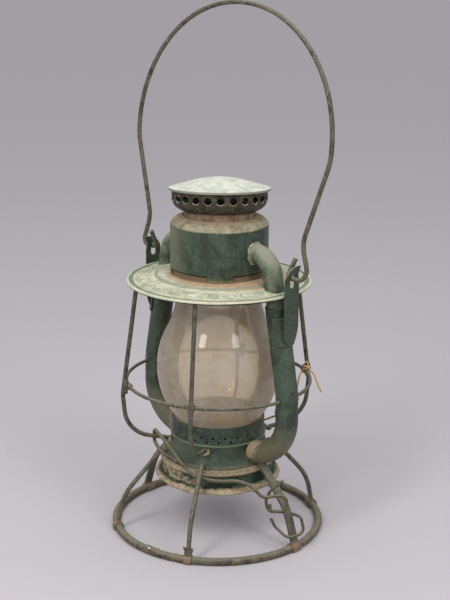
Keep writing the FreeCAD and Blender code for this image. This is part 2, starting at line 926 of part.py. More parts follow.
def fount_lock_wire():
    """Sprung wire: an open eye round the left upright's foot, a bow round the fount,
    and a curl at the right strap."""
    round_foot = -(size("wire_angle") + size("wire_pitch"))
    eye = [
        (polar(round_foot + 36, 45.6, 60.4), 0),
        (polar(round_foot + 14, 48.0, 63.6), 30),
        (polar(round_foot - 5.0, 47.8, 67.0), 2.6),
        (polar(round_foot - 4.0, 47.6, 75.6), 2.6),
        (polar(round_foot + 18, 48.0, 76.0), 16),
    ]
    bow = [
        (polar(round_foot + 41, 46.2, 60.6), 20),
        (polar(round_foot + 55, 46.1, 52.2), 16),
        (polar(round_foot + 76, 47.3, 50.8), 28),
        (polar(round_foot + 94, 46.8, 50.4), 12),
    ]
    curl = [
        (Vector(52.4, -21.2, 50.0), 8),
        (Vector(60.4, -16.3, 41.3), 6),
        (Vector(72.8, -5.9, 44.4), 5),
        (Vector(73.8, -5.4, 31.9), 5),
        (Vector(64.5, -13.8, 31.1), 2.8),
        (Vector(64.8, -13.6, 36.9), 0),
    ]
    bent_wire("fount_lock_wire", eye + bow + curl, size("lock_wire"))


def strap_clip():
    """Wire wound once round the right strap, with a catch loop on the inner side."""
    corners = [
        (Vector(68.0, -3.6, 52.6), 0),
        (Vector(60.6, -8.6, 44.6), 9),
        (Vector(57.6, -10.4, 36.4), 9),
        (Vector(58.6, -8.6, 27.6), 6),
        (Vector(65.0, 5.4, 24.6), 4.5),
        (Vector(76.2, 7.2, 24.2), 4.5),
        (Vector(81.0, 6.0, 13.4), 5),
        (Vector(75.6, -6.2, 11.4), 6.5),
        (Vector(65.4, -8.8, 18.4), 5),
        (Vector(62.6, -10.0, 24.0), 0),
    ]
    bent_wire("strap_clip", corners, size("clip_wire"))


# ---------------------------------------------------------------- fount and burner


def fount_tank():
    """Drawn oil pot: bead under the dome, upright wall and a raised top."""
    body = new_body("fount_tank")
    outline = [
        ("collar_radius - 2.5", "fount_top + 1.6"),
        ("collar_radius - 2.5", "fount_top + 1.6 - plate"),
        ("fount_radius - 4", "fount_top - 0.2 - plate"),
        ("fount_bead_radius - plate", "fount_top - 1.6"),
        ("fount_bead_radius - plate", "fount_top - 4.6"),
        ("fount_radius - plate", "fount_top - 6.2"),
        ("fount_radius - plate", "fount_foot + 4"),
        ("fount_radius", "fount_foot + 4"),
        ("fount_radius", "fount_top - 6"),
        ("fount_bead_radius", "fount_top - 4.4"),
        ("fount_bead_radius", "fount_top - 1.2"),
        ("fount_radius - 4", "fount_top - 0.2"),
    ]
    revolve(body, outline)


def fount_base():
    """Bottom pan with a flared flange."""
    body = new_body("fount_base")
    outline = [
        ("0", "fount_foot + 3.2"),
        ("0", "fount_foot + 4"),
        ("fount_radius - plate", "fount_foot + 4"),
        ("fount_radius - plate", "fount_foot + 4 - gap"),
        ("fount_radius + 1", "fount_foot + 4 - gap"),
        ("fount_radius + 2.6", "fount_foot + 3.6"),
        ("flange_radius", "fount_foot + 0.8"),
        ("flange_radius", "fount_foot"),
        ("flange_radius - 1", "fount_foot"),
        ("fount_radius + 2.2", "fount_foot + 2.8"),
        ("fount_radius + 1", "fount_foot + 3.2"),
    ]
    revolve(body, outline)


def fount_collar():
    """Screw collar soldered on the fount."""
    body = new_body("fount_collar")
    outline = [
        ("burner_radius + gap", "fount_top + 1.6"),
        ("collar_radius", "fount_top + 1.6"),
        ("collar_radius", "burner_floor + 1.6"),
        ("burner_radius + gap", "burner_floor + 1.6"),
    ]
    revolve(body, outline)


def burner_base():
    """Burner cup that screws into the collar."""
    body = new_body("burner_base")
    outline = [
        ("0", "burner_floor"),
        ("burner_radius", "burner_floor"),
        ("burner_radius", "burner_floor + 2.4"),
        ("burner_radius + 2.8", "burner_floor + 4"),
        ("burner_radius + 2.8", "burner_floor + 12.4"),
        ("burner_radius + 2.0", "burner_floor + 12.4"),
        ("burner_radius + 2.0", "burner_floor + 4.4"),
        ("burner_radius - 0.8", "burner_floor + 2.9"),
        ("burner_radius - 0.8", "burner_floor + 0.8"),
        ("0", "burner_floor + 0.8"),
    ]
    revolve(body, outline)
    half_wide = "(wick_width / 2 + 2 * fit + 0.5 + gap)"
    half_thick = "(wick_thickness / 2 + fit + 0.5 + gap)"
    slit = [
        (f"-{half_thick}", f"-{half_wide}"),
        (half_thick, f"-{half_wide}"),
        (half_thick, half_wide),
        (f"-{half_thick}", half_wide),
    ]
    pocket(
        body,
        "XY_Plane",
        lambda sketch: draw_outline(sketch, slit),
        "4",
        "wick_slit",
        offset="burner_floor",
        both=True,
    )
    pocket(
        body,
        "XZ_Plane",
        lambda sketch: draw_circle(sketch, "shaft_offset", "shaft_height", "shaft_wire + 2 * gap"),
        "2 * collar_radius",
        "shaft_hole",
    )


def burner_cone():
    """Deflector over the flame."""
    body = new_body("burner_cone")
    outline = [
        ("burner_radius + 2.8", "burner_floor + 12.5"),
        ("burner_radius + 2.8", "burner_floor + 14"),
        ("7.4", "cone_top", "22", "left"),
        ("6.9", "cone_top - 0.3"),
        ("burner_radius + 2.2", "burner_floor + 14", "21.5", "right"),
        ("burner_radius + 2.2", "burner_floor + 12.5"),
    ]
    revolve(body, outline)


def flat_tube(label, half_thick, half_wide, bottom, top, wall):
    """Rectangular tube on the axis, its width along Y."""
    body = new_body(label)
    length = f"({top}) - ({bottom})"
    middle = f"(({top}) + ({bottom})) / 2"

    def rectangle(thick, wide):
        return [
            (f"-({thick})", f"-({wide})"),
            (thick, f"-({wide})"),
            (thick, wide),
            (f"-({thick})", wide),
        ]

    outer = rectangle(f"{half_thick} + {wall}", f"{half_wide} + {wall}")
    holes = [rectangle(half_thick, half_wide)]
    pad(body, "XY_Plane", outer, length, "section", offset=middle, holes=holes)
    return body


def wick_tube():
    """Flat tube for the wick, with windows for the two wheels."""
    half_thick = "wick_thickness / 2 + fit"
    half_wide = "wick_width / 2 + 2 * fit"
    body = flat_tube("wick_tube", half_thick, half_wide, "burner_floor - 3", "cone_top - 4", "0.5")

    def windows(sketch):
        for side in (-1, 1):
            middle = f"({side} * 3.5)"
            draw_outline(
                sketch,
                [
                    (f"{middle} - 1.2", "shaft_height - 3.4"),
                    (f"{middle} + 1.2", "shaft_height - 3.4"),
                    (f"{middle} + 1.2", "shaft_height + 3.4"),
                    (f"{middle} - 1.2", "shaft_height + 3.4"),
                ],
            )

    pocket(body, "YZ_Plane", windows, "wick_width", "wheel_windows", flip=True)


def wick():
    """Flat woven wick."""
    body = new_body("wick")
    outline = [
        ("-wick_thickness / 2", "wick_end"),
        ("wick_thickness / 2", "wick_end"),
        ("wick_thickness / 2", "wick_top"),
        ("-wick_thickness / 2", "wick_top"),
    ]
    pad(body, "XZ_Plane", outline, "wick_width", "strip")


def along_shaft(body, diameter, start, length, name):
    """A round bar along the wick shaft's line."""
    sketch = new_sketch(body, "XZ_Plane", name, offset=f"-({start})")
    draw_circle(sketch, "shaft_offset", "shaft_height", diameter)
    bar = body.newObject("PartDesign::Pad", name + "_bar")
    bar.Profile = sketch
    bar.Reversed = True
    bar.setExpression("Length", linked(length))
    return bar


def wick_shaft():
    """Wire shaft from the wick wheels out through the dome's slot."""
    body = new_body("wick_shaft")
    along_shaft(body, "shaft_wire", "-6", "knob_place + 6", "shaft")


def ring_on_shaft(label, diameter, bore, places, length):
    """Discs that share the shaft's line."""
    body = new_body(label)
    for index, start in enumerate(places):
        along_shaft(body, diameter, start, length, f"disc_{index}")
    sketch_place = f"{places[0]} - 1"
    pocket(
        body,
        "XZ_Plane",
        lambda sketch: draw_circle(sketch, "shaft_offset", "shaft_height", bore),
        "200",
        "bore",
        offset=f"-({sketch_place})",
        both=True,
    )
    return body


def build_lantern():
    """Builds every piece."""
    base_ring()
    near = "wire_angle"
    far = "(wire_angle + wire_pitch)"
    stations = {
        "rear_right": near,
        "rear_left": far,
        "front_right": f"-{near}",
        "front_left": f"-{far}",
    }
    for place, angle in stations.items():
        leg_wire(f"leg_wire_{place}", angle)
        guard_upright(f"guard_upright_{place}", angle)
    guard_belt("guard_belt_rear", "90")
    guard_belt("guard_belt_front", "-90")
    for side, angle in (("right", "0"), ("left", "180")):
        strap_leg(f"strap_leg_{side}", angle)
        tube_upper(f"tube_upper_{side}", angle)
        tube_lower(f"tube_lower_{side}", angle)
        ear(f"ear_{side}", angle)
    lower_dome()
    globe_plate()
    globe()
    brim()
    drum()
    drum_crown()
    cap()
    cap_gallery()
    chimney_neck()
    globe_bell()
    hood_spring()
    bail()
    fount_lock_wire()
    strap_clip()
    fount_tank()
    fount_base()
    fount_collar()
    burner_base()
    burner_cone()
    wick_tube()
    wick()
    wick_shaft()
    ring_on_shaft("wick_wheels", "2 * wheel_radius", "shaft_wire", ("-4.3", "2.7"), "1.6")
    ring_on_shaft("wick_knob", "2 * knob_radius", "shaft_wire", ("knob_place",), "knob_width")


def check_document():
    """Stops on any failed object or unusable shape."""
    for item in doc.Objects:
        if {"Invalid", "Error"} & set(item.State):
            raise RuntimeError(f"{item.Name}: {item.State}")
    for piece in pieces:
        if piece.Shape.isNull() or not piece.Shape.isValid() or not piece.Shape.Solids:
            raise RuntimeError(f"{piece.Label}: no usable shape")


build_lantern()
doc.recompute()
check_document()
os.makedirs("parts", exist_ok=True)
for piece in pieces:
    piece.Shape.exportStep(f"parts/{piece.Label}.step")
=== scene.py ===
"""Looks of the wire-guard hand lantern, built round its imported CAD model."""

import math

import bmesh
import bpy
from mathutils import Matrix, Vector, noise


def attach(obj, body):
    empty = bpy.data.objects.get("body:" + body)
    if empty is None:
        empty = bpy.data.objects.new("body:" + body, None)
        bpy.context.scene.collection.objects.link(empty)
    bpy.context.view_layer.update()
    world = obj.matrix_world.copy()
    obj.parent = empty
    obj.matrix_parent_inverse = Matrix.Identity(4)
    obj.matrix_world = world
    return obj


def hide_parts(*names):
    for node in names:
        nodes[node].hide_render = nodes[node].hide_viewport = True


# Lengths are in millimetres and angles in degrees about +Z, unless a comment says otherwise.
MM = 0.001
FRONT = -46.5
CORNERS = {"rear_right": 61.7, "rear_left": 118.3, "front_right": -61.7, "front_left": -118.3}
BELT_HEIGHT = 113.0
BELT_RADIUS = 67.4
DRUM_RADIUS = 35.3
UPPER_TUBE_HEIGHT = 213
UPPER_TUBE_RADIUS = 7.1
RING_SEAM_ANGLE = -84
HOOD_TILT = -4.8
HOOD_HINGE = 43.5
HOOD_SEAT_HEIGHT = 235
GALLERY_HOLES = 24
GALLERY_HOLE_RADIUS = 2.65
GALLERY_HOLE_HEIGHT = 13.1
GALLERY_RADIUS = 34.1
BRIM_INNER = (46.5, 191.7)
BRIM_OUTER = (62.6, 188.9)
TUBE_FOOT = (37.5, 69.5)
DRUM_FOOT = (198.2, 195.6)
DRUM_TOP_SEAM = (230.6, 229.6)
DOME_FOOT = (61.4, 58.6)
PLATE_HOLES = (73.4, 79.2)
PLATE_BEAD = (71.2, 72.9)
BRIM_COLLAR = (35.6, 34.6)
BRIM_FIELD = (51.0, 59.0)
BRIM_STEP = (44.6, 46.0)
BRIM_GUTTER = (62.2, 64.4)
BRIM_RIM = (65.0, 65.6)
FOUNT_BEAD = (52.8, 53.9)
FOUNT_FOOT = (45.8, 44.4)
LEG_FOOT_HEIGHT = (8.6, 6.4)
LEG_FOOT_RADIUS = (73.0, 74.0)
STRAP_FOOT = (9.0, 6.0)
WICK_CHAR = (84.0, 86.8)

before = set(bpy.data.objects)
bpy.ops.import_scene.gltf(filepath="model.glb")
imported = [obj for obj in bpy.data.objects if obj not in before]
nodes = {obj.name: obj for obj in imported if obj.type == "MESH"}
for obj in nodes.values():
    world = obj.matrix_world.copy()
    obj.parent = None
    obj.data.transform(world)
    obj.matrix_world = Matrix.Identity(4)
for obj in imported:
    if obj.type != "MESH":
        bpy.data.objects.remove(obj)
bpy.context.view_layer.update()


# ---------------------------------------------------------------- procedural materials


def tint(red, green, blue):
    """Linear colour from 0-255 display values."""
    return tuple((value / 255) ** 2.2 for value in (red, green, blue)) + (1.0,)


class Look:
    """A node material whose patterns are sized in millimetres on the object at rest."""

    def __init__(self, name):
        self.material = bpy.data.materials.new(name)
        self.material.use_nodes = True
        self.tree = self.material.node_tree
        self.tree.nodes.clear()
        source = self.add("ShaderNodeTexCoord")
        self.place = self.vector("SCALE", source.outputs["Object"], scale=1 / MM)
        split = self.add("ShaderNodeSeparateXYZ")
        self.join(self.place, split.inputs[0])
        self.x, self.y, self.height = split.outputs
        across = self.math("MULTIPLY", self.x, self.x)
        along = self.math("MULTIPLY", self.y, self.y)
        self.radius = self.math("SQRT", self.math("ADD", across, along))
        self.geometry = self.add("ShaderNodeNewGeometry")
        normal = self.add("ShaderNodeSeparateXYZ")
        self.join(self.geometry.outputs["Normal"], normal.inputs[0])
        self.up = normal.outputs[2]
        self.normal = None

    def add(self, kind, **settings):
        """Adds a node with its settings."""
        node = self.tree.nodes.new(kind)
        for key, value in settings.items():
            setattr(node, key, value)
        return node

    def join(self, value, socket):
        """Links a socket, or sets a plain value."""
        if isinstance(value, bpy.types.NodeSocket):
            self.tree.links.new(value, socket)
        else:
            socket.default_value = value

    def math(self, operation, *values):
        """Result of one arithmetic node."""
        node = self.add("ShaderNodeMath", operation=operation)
        for socket, value in zip(node.inputs, values):
            self.join(value, socket)
        return node.outputs[0]

    def vector(self, operation, first, second=None, scale=None):
        node = self.add("ShaderNodeVectorMath", operation=operation)
        self.join(first, node.inputs[0])
        if second is not None:
            self.join(second, node.inputs[1])
        if scale is not None:
            self.join(scale, node.inputs["Scale"])
        return node.outputs["Value" if operation in ("DOT_PRODUCT", "LENGTH") else "Vector"]

    def pack(self, *parts):
        node = self.add("ShaderNodeCombineXYZ")
        for socket, part in zip(node.inputs, parts):
            self.join(part, socket)
        return node.outputs[0]

    def noise(self, size, detail=5.0, rough=0.6, shift=0.0, stretch=(1, 1, 1), warp=0.0):
        """Noise about 0.5 with features near size millimetres."""
        moved = self.vector("ADD", self.place, (shift, shift * 1.7, shift * 0.6))
        drawn = self.vector("MULTIPLY", moved, stretch)
        node = self.add("ShaderNodeTexNoise")
        self.join(drawn, node.inputs["Vector"])
        self.join(1 / size, node.inputs["Scale"])
        self.join(detail, node.inputs["Detail"])
        self.join(rough, node.inputs["Roughness"])
        self.join(warp, node.inputs["Distortion"])
        return node.outputs[0]

    def ease(self, value, low, high):
        """0 below low, 1 above high (or the other way round), smooth between."""
        node = self.add("ShaderNodeMapRange", interpolation_type="SMOOTHSTEP")
        self.join(value, node.inputs["Value"])
        if low < high:
            ends = (low, high, 0.0, 1.0)
        else:
            ends = (high, low, 1.0, 0.0)
        for key, end in zip(("From Min", "From Max", "To Min", "To Max"), ends):
            self.join(end, node.inputs[key])
        return node.outputs["Result"]

    def band(self, value, low, high, soft):
        """1 between low and high, falling to 0 over soft outside them."""
        rise = self.ease(value, low - soft, low)
        fall = self.ease(value, high + soft, high)
        return self.math("MULTIPLY", rise, fall)

    def times(self, *values):
        result = values[0]
        for value in values[1:]:
            result = self.math("MULTIPLY", result, value)
        return result

    def sum(self, *values):
        result = values[0]
        for value in values[1:]:
            result = self.math("ADD", result, value)
        return result

    def mix(self, first, second, share):
        """Colour between first (share 0) and second (share 1)."""
        node = self.add("ShaderNodeMix", data_type="RGBA")
        self.join(share, node.inputs["Factor"])
        self.join(first, node.inputs["A"])
        self.join(second, node.inputs["B"])
        return node.outputs["Result"]

    def level(self, first, second, share):
        """Number between first (share 0) and second (share 1)."""
        node = self.add("ShaderNodeMix", data_type="FLOAT")
        self.join(share, node.inputs["Factor"])
        self.join(first, node.inputs["A"])
        self.join(second, node.inputs["B"])
        return node.outputs["Result"]

    def raised(self, height, depth):
        """Adds relief: height 0..1 stands for depth millimetres."""
        node = self.add("ShaderNodeBump")
        self.join(1.0, node.inputs["Strength"])
        self.join(depth * MM, node.inputs["Distance"])
        self.join(height, node.inputs["Height"])
        if self.normal is not None:
            self.join(self.normal, node.inputs["Normal"])
        self.normal = node.outputs["Normal"]

    def surface(self, color, rough, metal=0.0, shine=0.5):
        """Principled shader with the relief gathered so far."""
        shader = self.add("ShaderNodeBsdfPrincipled")
        self.join(color, shader.inputs["Base Color"])
        self.join(rough, shader.inputs["Roughness"])
        self.join(metal, shader.inputs["Metallic"])
        self.join(shine, shader.inputs["Specular IOR Level"])
        if self.normal is not None:
            self.join(self.normal, shader.inputs["Normal"])
        return shader.outputs[0]

    def finish(self, shader):
        """Connects the shader and hands back the material."""
        output = self.add("ShaderNodeOutputMaterial")
        self.join(shader, output.inputs["Surface"])
        return self.material


def specks(look, size, share, shift):
    """Scattered flecks: a larger share gives more of them."""
    return look.ease(look.noise(size, 2.0, 0.5, shift), 0.72 - share, 0.76 - share)


def scratches(look, shift):
    """Fine long marks."""
    fine = look.noise(0.9, 2.0, 0.5, shift, (1.0, 1.0, 0.09))
    gate = look.ease(look.noise(9.0, 2.0, 0.5, shift + 5), 0.5, 0.62)
    return look.times(look.ease(fine, 0.66, 0.72), gate)


def green_coat(look, dark, mid, light, shift=0.0):
    """Old green paint: clouded tone, stains, hairline scratches, and fine pale specks."""
    cloud = look.noise(16.0, 6.0, 0.62, shift, warp=0.6)
    color = look.mix(dark, mid, look.ease(cloud, 0.36, 0.60))
    mottle = look.noise(3.2, 5.0, 0.68, shift + 20)
    color = look.mix(color, light, look.times(look.ease(mottle, 0.50, 0.78), 0.55))
    stain = look.noise(7.0, 4.0, 0.6, shift + 41, (1.0, 1.0, 0.35))
    return look.mix(color, tint(34, 44, 34), look.times(look.ease(stain, 0.54, 0.72), 0.6))


def dust_over(look, color, crust, low, high, share=0.9, shift=0.0):
    """Dust that has settled on faces turned up."""
    patchy = look.sum(look.up, look.math("MULTIPLY", look.noise(5.0, 5.0, 0.65, 63 + shift), 0.9))
    settled = look.times(look.ease(patchy, low + 0.45, high + 0.45), share)
    return look.mix(color, crust, settled), settled


def paint_look(name, tone, shift, dust, crust=(141, 142, 122), extra=None):
    """Dark green paint of the pressed parts and side tubes."""
    look = Look(name)
    shades = [
        tint(*(value * tone for value in shade))
        for shade in ((40, 53, 42), (63, 79, 63), (94, 106, 85))
    ]
    color = green_coat(look, *shades, shift)
    color, settled = dust_over(look, color, tint(*crust), *dust, 0.85, shift)
    if extra is not None:
        color = extra(look, color)
    rust = look.times(specks(look, 2.6, 0.045, shift + 90), 0.45)
    color = look.mix(color, tint(92, 78, 58), rust)
    color = look.mix(color, tint(140, 146, 124), look.times(specks(look, 1.1, 0.04, shift + 70), 0.6))
    marks = scratches(look, shift + 31)
    color = look.mix(color, tint(126, 132, 112), look.times(marks, 0.45))
    rough = look.level(0.30, 0.85, look.math("MAXIMUM", settled, look.noise(8.0, 4.0, 0.6, shift + 8)))
    look.raised(look.noise(0.8, 4.0, 0.6, shift), 0.05)
    look.raised(look.noise(6.0, 3.0, 0.5, shift + 12), 0.28)
    look.raised(marks, -0.04)
    return look.finish(look.surface(color, rough, shine=0.6))


def tube_foot_crust(look, color):
    """Pale crust and rust where a side tube meets the dome, and dull dust on the elbow."""
    ragged = look.math("MULTIPLY", look.noise(4.0, 5.0, 0.7, 17), 16.0)
    low = look.ease(look.sum(look.height, ragged), 108.0, 82.0)
    color = look.mix(color, tint(106, 102, 78), look.times(low, 0.8))
    across = look.math("SUBTRACT", look.math("ABSOLUTE", look.x), TUBE_FOOT[0])
    rise = look.math("SUBTRACT", look.height, TUBE_FOOT[1])
    spread = look.vector("LENGTH", look.pack(across, look.y, rise))
    near = look.ease(look.sum(spread, ragged), 19.5, 15.5)
    color = look.mix(color, tint(172, 158, 124), look.times(near, 0.9))
    rusty = look.ease(look.noise(3.4, 5.0, 0.7, 73), 0.48, 0.60)
    return look.mix(color, tint(164, 128, 104), look.times(near, rusty, 0.8))


def tube_root_crust(look, color):
    """Solder and pale dust on the upper tubes, strongest at the drum and on top."""
    ragged = look.math("MULTIPLY", look.noise(3.0, 4.0, 0.7, 23), 6.0)
    near = look.ease(look.sum(look.radius, ragged), 42.5, 38.0)
    color = look.mix(color, tint(150, 146, 120), look.times(near, 0.75))
    patch = look.ease(look.noise(9.0, 4.0, 0.6, 57), 0.44, 0.62)
    return look.mix(color, tint(134, 138, 116), look.times(patch, 0.5))


def strap_marks(look, color):
    """Paint gone grey-brown on the straps, and bare rust at their feet."""
    patch = look.ease(look.noise(7.0, 5.0, 0.65, 27), 0.36, 0.56)
    color = look.mix(color, tint(98, 92, 76), look.times(patch, 0.75))
    return look.mix(color, tint(138, 112, 92), look.times(look.ease(look.height, *STRAP_FOOT), 0.7))


def drum_marks(look, color):
    """Worn lower edge, and a painted highlight down the drum's left side."""
    ragged = look.math("MULTIPLY", look.noise(2.4, 4.0, 0.7, 29), 3.0)
    foot = look.ease(look.sum(look.height, ragged), *DRUM_FOOT)
    color = look.mix(color, tint(150, 138, 104), look.times(foot, 0.55))
    # Painted highlight: faces turned to the left are mixed paler, standing in for light falling on that
    # side.
    side = look.vector("DOT_PRODUCT", look.geometry.outputs["Normal"], toward(FRONT - 90, 1))
    side = look.ease(side, 0.55, 1.0)
    return look.mix(color, tint(118, 122, 98), look.times(side, 0.6))


def plate_marks(look, color):
    """Dark perforated band with lime at the holes and a pale bead."""
    holes = look.band(look.height, *PLATE_HOLES, 0.8)
    lime = look.times(holes, specks(look, 1.3, 0.07, 44))
    color = look.mix(color, tint(150, 160, 138), look.times(lime, 0.5))
    bead = look.band(look.height, *PLATE_BEAD, 0.25)
    return look.mix(color, tint(112, 128, 104), look.times(bead, 0.55))


def dome_marks(look, color):
    """Rust at the foot of the dome, and paler on the faces turned to its left."""
    ragged = look.math("MULTIPLY", look.noise(3.0, 5.0, 0.7, 37), 4.0)
    foot = look.ease(look.sum(look.height, ragged), *DOME_FOOT)
    color = look.mix(color, tint(150, 132, 104), look.times(foot, 0.35))
    # Faces turned to the left are mixed paler; the mask follows only the direction of the surface.
    side = look.vector("DOT_PRODUCT", look.geometry.outputs["Normal"], toward(FRONT - 80, 1))
    return look.mix(color, tint(104, 106, 88), look.times(look.ease(side, 0.5, 1.0), 0.7))


def toward(angle, length, height=0.0):
    """Coordinates at an angle about the upright axis."""
    turn = math.radians(angle)
    return (length * math.cos(turn), length * math.sin(turn), height)


def brim_look():
    """Cream crust over green, orange rust near the drum, painted shade along the step and in the gutter,
    and a rim rubbed pale with a painted highlight.
    """
    look = Look("brim_crust")
    cloud = look.noise(9.0, 6.0, 0.65, 3)
    color = look.mix(tint(168, 175, 152), tint(214, 213, 192), look.ease(cloud, 0.36, 0.56))
    patch = look.noise(5.0, 6.0, 0.7, 14)
    color = look.mix(color, tint(134, 146, 126), look.times(look.ease(patch, 0.56, 0.68), 0.65))
    ragged = look.math("MULTIPLY", look.noise(7.0, 6.0, 0.7, 25), 14.0)
    away = look.vector("DOT_PRODUCT", look.place, toward(FRONT + 62, 1))
    reach = look.sum(look.radius, ragged, look.times(away, -0.16))
    rusty = look.ease(reach, 54.0, 44.0)
    blush = look.ease(look.noise(5.0, 5.0, 0.65, 36), 0.34, 0.56)
    color = look.mix(color, tint(186, 168, 138), look.times(rusty, 0.8))
    color = look.mix(color, tint(184, 150, 118), look.times(rusty, blush, 0.85))
    deep = look.ease(look.noise(3.0, 5.0, 0.7, 47), 0.56, 0.66)
    color = look.mix(color, tint(146, 106, 78), look.times(rusty, deep, 0.6))
    inner = look.times(look.ease(look.radius, *BRIM_COLLAR), look.ease(look.height, 192.6, 194.6))
    color = look.mix(color, tint(96, 80, 60), look.times(inner, 0.8))
    # Darker green patches in the band of marks: partly green paint showing through the crust, partly
    # painted shade round the raised marks.
    field = look.times(look.band(look.radius, *BRIM_FIELD, 1.2), look.ease(patch, 0.40, 0.56))
    color = look.mix(color, tint(146, 156, 134), look.times(field, 0.5))
    # Painted shade: a darker green line along the step, where the ridge throws shade.
    step = look.band(look.radius, *BRIM_STEP, 1.2)
    look.raised(look.ease(look.radius, 47.4, 45.6), 0.5)
    color = look.mix(color, tint(134, 142, 124), look.times(step, 0.75))
    # Painted shade: the gutter inside the rim is darkened where the groove lies in shade.
    gutter = look.band(look.radius, *BRIM_GUTTER, 0.7)
    color = look.mix(color, tint(116, 130, 112), look.times(gutter, 0.9))
    # Rubbed rim: the pale colour is partly worn crust and partly painted highlight along the top of the
    # rolled rim.
    worn = look.ease(look.noise(4.0, 4.0, 0.6, 71), 0.3, 0.5)
    rubbed = look.times(look.ease(look.radius, *BRIM_RIM), worn)
    color = look.mix(color, tint(206, 200, 172), look.times(rubbed, 0.7))
    below = look.ease(look.up, -0.05, -0.45)
    color = look.mix(color, tint(44, 54, 43), below)
    grime = specks(look, 1.5, 0.05, 58)
    color = look.mix(color, tint(96, 82, 62), look.times(grime, 0.8))
    look.raised(look.noise(0.9, 5.0, 0.7, 5), 0.16)
    look.raised(look.noise(4.0, 4.0, 0.6, 6), 0.3)
    return look.finish(look.surface(color, look.level(0.7, 0.95, cloud), shine=0.25))


def relief_look():
    """Cream on the brim's pressed border: rubbed crust, and painted highlight on the raised marks."""
    look = Look("rubbed_relief_and_highlight")
    cloud = look.noise(3.0, 5.0, 0.65, 9)
    # The pale cream is partly rubbed crust and partly painted highlight on the raised marks.
    color = look.mix(tint(176, 176, 148), tint(222, 214, 182), look.ease(cloud, 0.38, 0.60))
    lost = look.ease(look.noise(14.0, 4.0, 0.6, 19), 0.46, 0.60)
    color = look.mix(color, tint(158, 166, 146), look.times(lost, 0.8))
    look.raised(look.noise(0.8, 4.0, 0.65, 5), 0.12)
    return look.finish(look.surface(color, 0.8, shine=0.25))


def cap_look():
    """Chalky near-white crust on the cap, greener at the turned edge and dark beneath."""
    look = Look("cap_crust")
    cloud = look.noise(8.0, 6.0, 0.65, 2)
    color = look.mix(tint(186, 192, 178), tint(214, 216, 204), look.ease(cloud, 0.36, 0.58))
    patch = look.noise(3.0, 5.0, 0.7, 9)
    color = look.mix(color, tint(160, 168, 148), look.times(look.ease(patch, 0.58, 0.70), 0.6))
    color = look.mix(color, tint(150, 156, 138), look.ease(look.up, 0.9, 0.55))
    color = look.mix(color, tint(62, 58, 47), look.ease(look.up, 0.2, -0.3))
    color = look.mix(color, tint(120, 104, 80), look.times(specks(look, 1.4, 0.03, 19), 0.7))
    look.raised(look.noise(0.9, 4.0, 0.7, 4), 0.1)
    look.raised(look.noise(9.0, 3.0, 0.5, 5), 0.5)
    return look.finish(look.surface(color, look.level(0.6, 0.9, cloud), shine=0.3))


def crown_look():
    """Tan and grey-green crust on the drum's shoulder, browner near the neck."""
    look = Look("crown_crust")
    cloud = look.noise(7.0, 6.0, 0.65, 7)
    color = look.mix(tint(128, 116, 94), tint(160, 152, 130), look.ease(cloud, 0.38, 0.60))
    ragged = look.math("MULTIPLY", look.noise(4.0, 5.0, 0.7, 11), 5.0)
    brown = look.ease(look.sum(look.radius, ragged), 34.5, 30.5)
    color = look.mix(color, tint(156, 134, 108), look.times(brown, 0.8))
    green = look.ease(look.noise(5.0, 5.0, 0.7, 13), 0.54, 0.64)
    color = look.mix(color, tint(118, 126, 102), look.times(green, 0.7))
    seam = look.ease(look.sum(look.height, look.math("MULTIPLY", cloud, 1.4)), *DRUM_TOP_SEAM)
    color = look.mix(color, tint(74, 88, 70), seam)
    color = look.mix(color, tint(206, 204, 184), look.times(specks(look, 1.2, 0.05, 15), 0.8))
    look.raised(look.noise(1.0, 5.0, 0.7, 5), 0.14)
    look.raised(look.noise(6.0, 3.0, 0.5, 6), 0.3)
    return look.finish(look.surface(color, 0.82, shine=0.25))


def gallery_look():
    """Smoked dark sheet; dust lies on the lips of its holes."""
    look = Look("smoked_sheet")
    cloud = look.noise(6.0, 6.0, 0.65, 8)
    color = look.mix(tint(44, 42, 36), tint(78, 72, 60), look.ease(cloud, 0.38, 0.64))
    warm = look.ease(look.noise(4.0, 5.0, 0.65, 18), 0.52, 0.66)
    color = look.mix(color, tint(98, 80, 60), look.times(warm, 0.55))
    color, settled = dust_over(look, color, tint(176, 174, 156), 0.30, 0.75)
    color = look.mix(color, tint(150, 150, 130), look.times(specks(look, 1.0, 0.05, 28), 0.6))
    look.raised(look.noise(0.9, 4.0, 0.7, 3), 0.1)
    look.raised(look.noise(5.0, 3.0, 0.5, 6), 0.25)
    return look.finish(look.surface(color, look.level(0.6, 0.9, settled), shine=0.35))


def neck_look():
    """Bare rusted sliding tube."""
    look = Look("rusted_neck")
    cloud = look.noise(6.0, 6.0, 0.62, 4)
    color = look.mix(tint(112, 96, 80), tint(146, 128, 108), look.ease(cloud, 0.36, 0.64))
    pale = look.ease(look.noise(3.4, 5.0, 0.65, 21), 0.54, 0.70)
    color = look.mix(color, tint(150, 134, 112), look.times(pale, 0.45))
    rusty = look.ease(look.noise(4.4, 5.0, 0.65, 33), 0.52, 0.66)
    color = look.mix(color, tint(136, 98, 76), look.times(rusty, 0.45))
    look.raised(look.noise(0.8, 5.0, 0.7, 5), 0.14)
    return look.finish(look.surface(color, 0.88, shine=0.2))


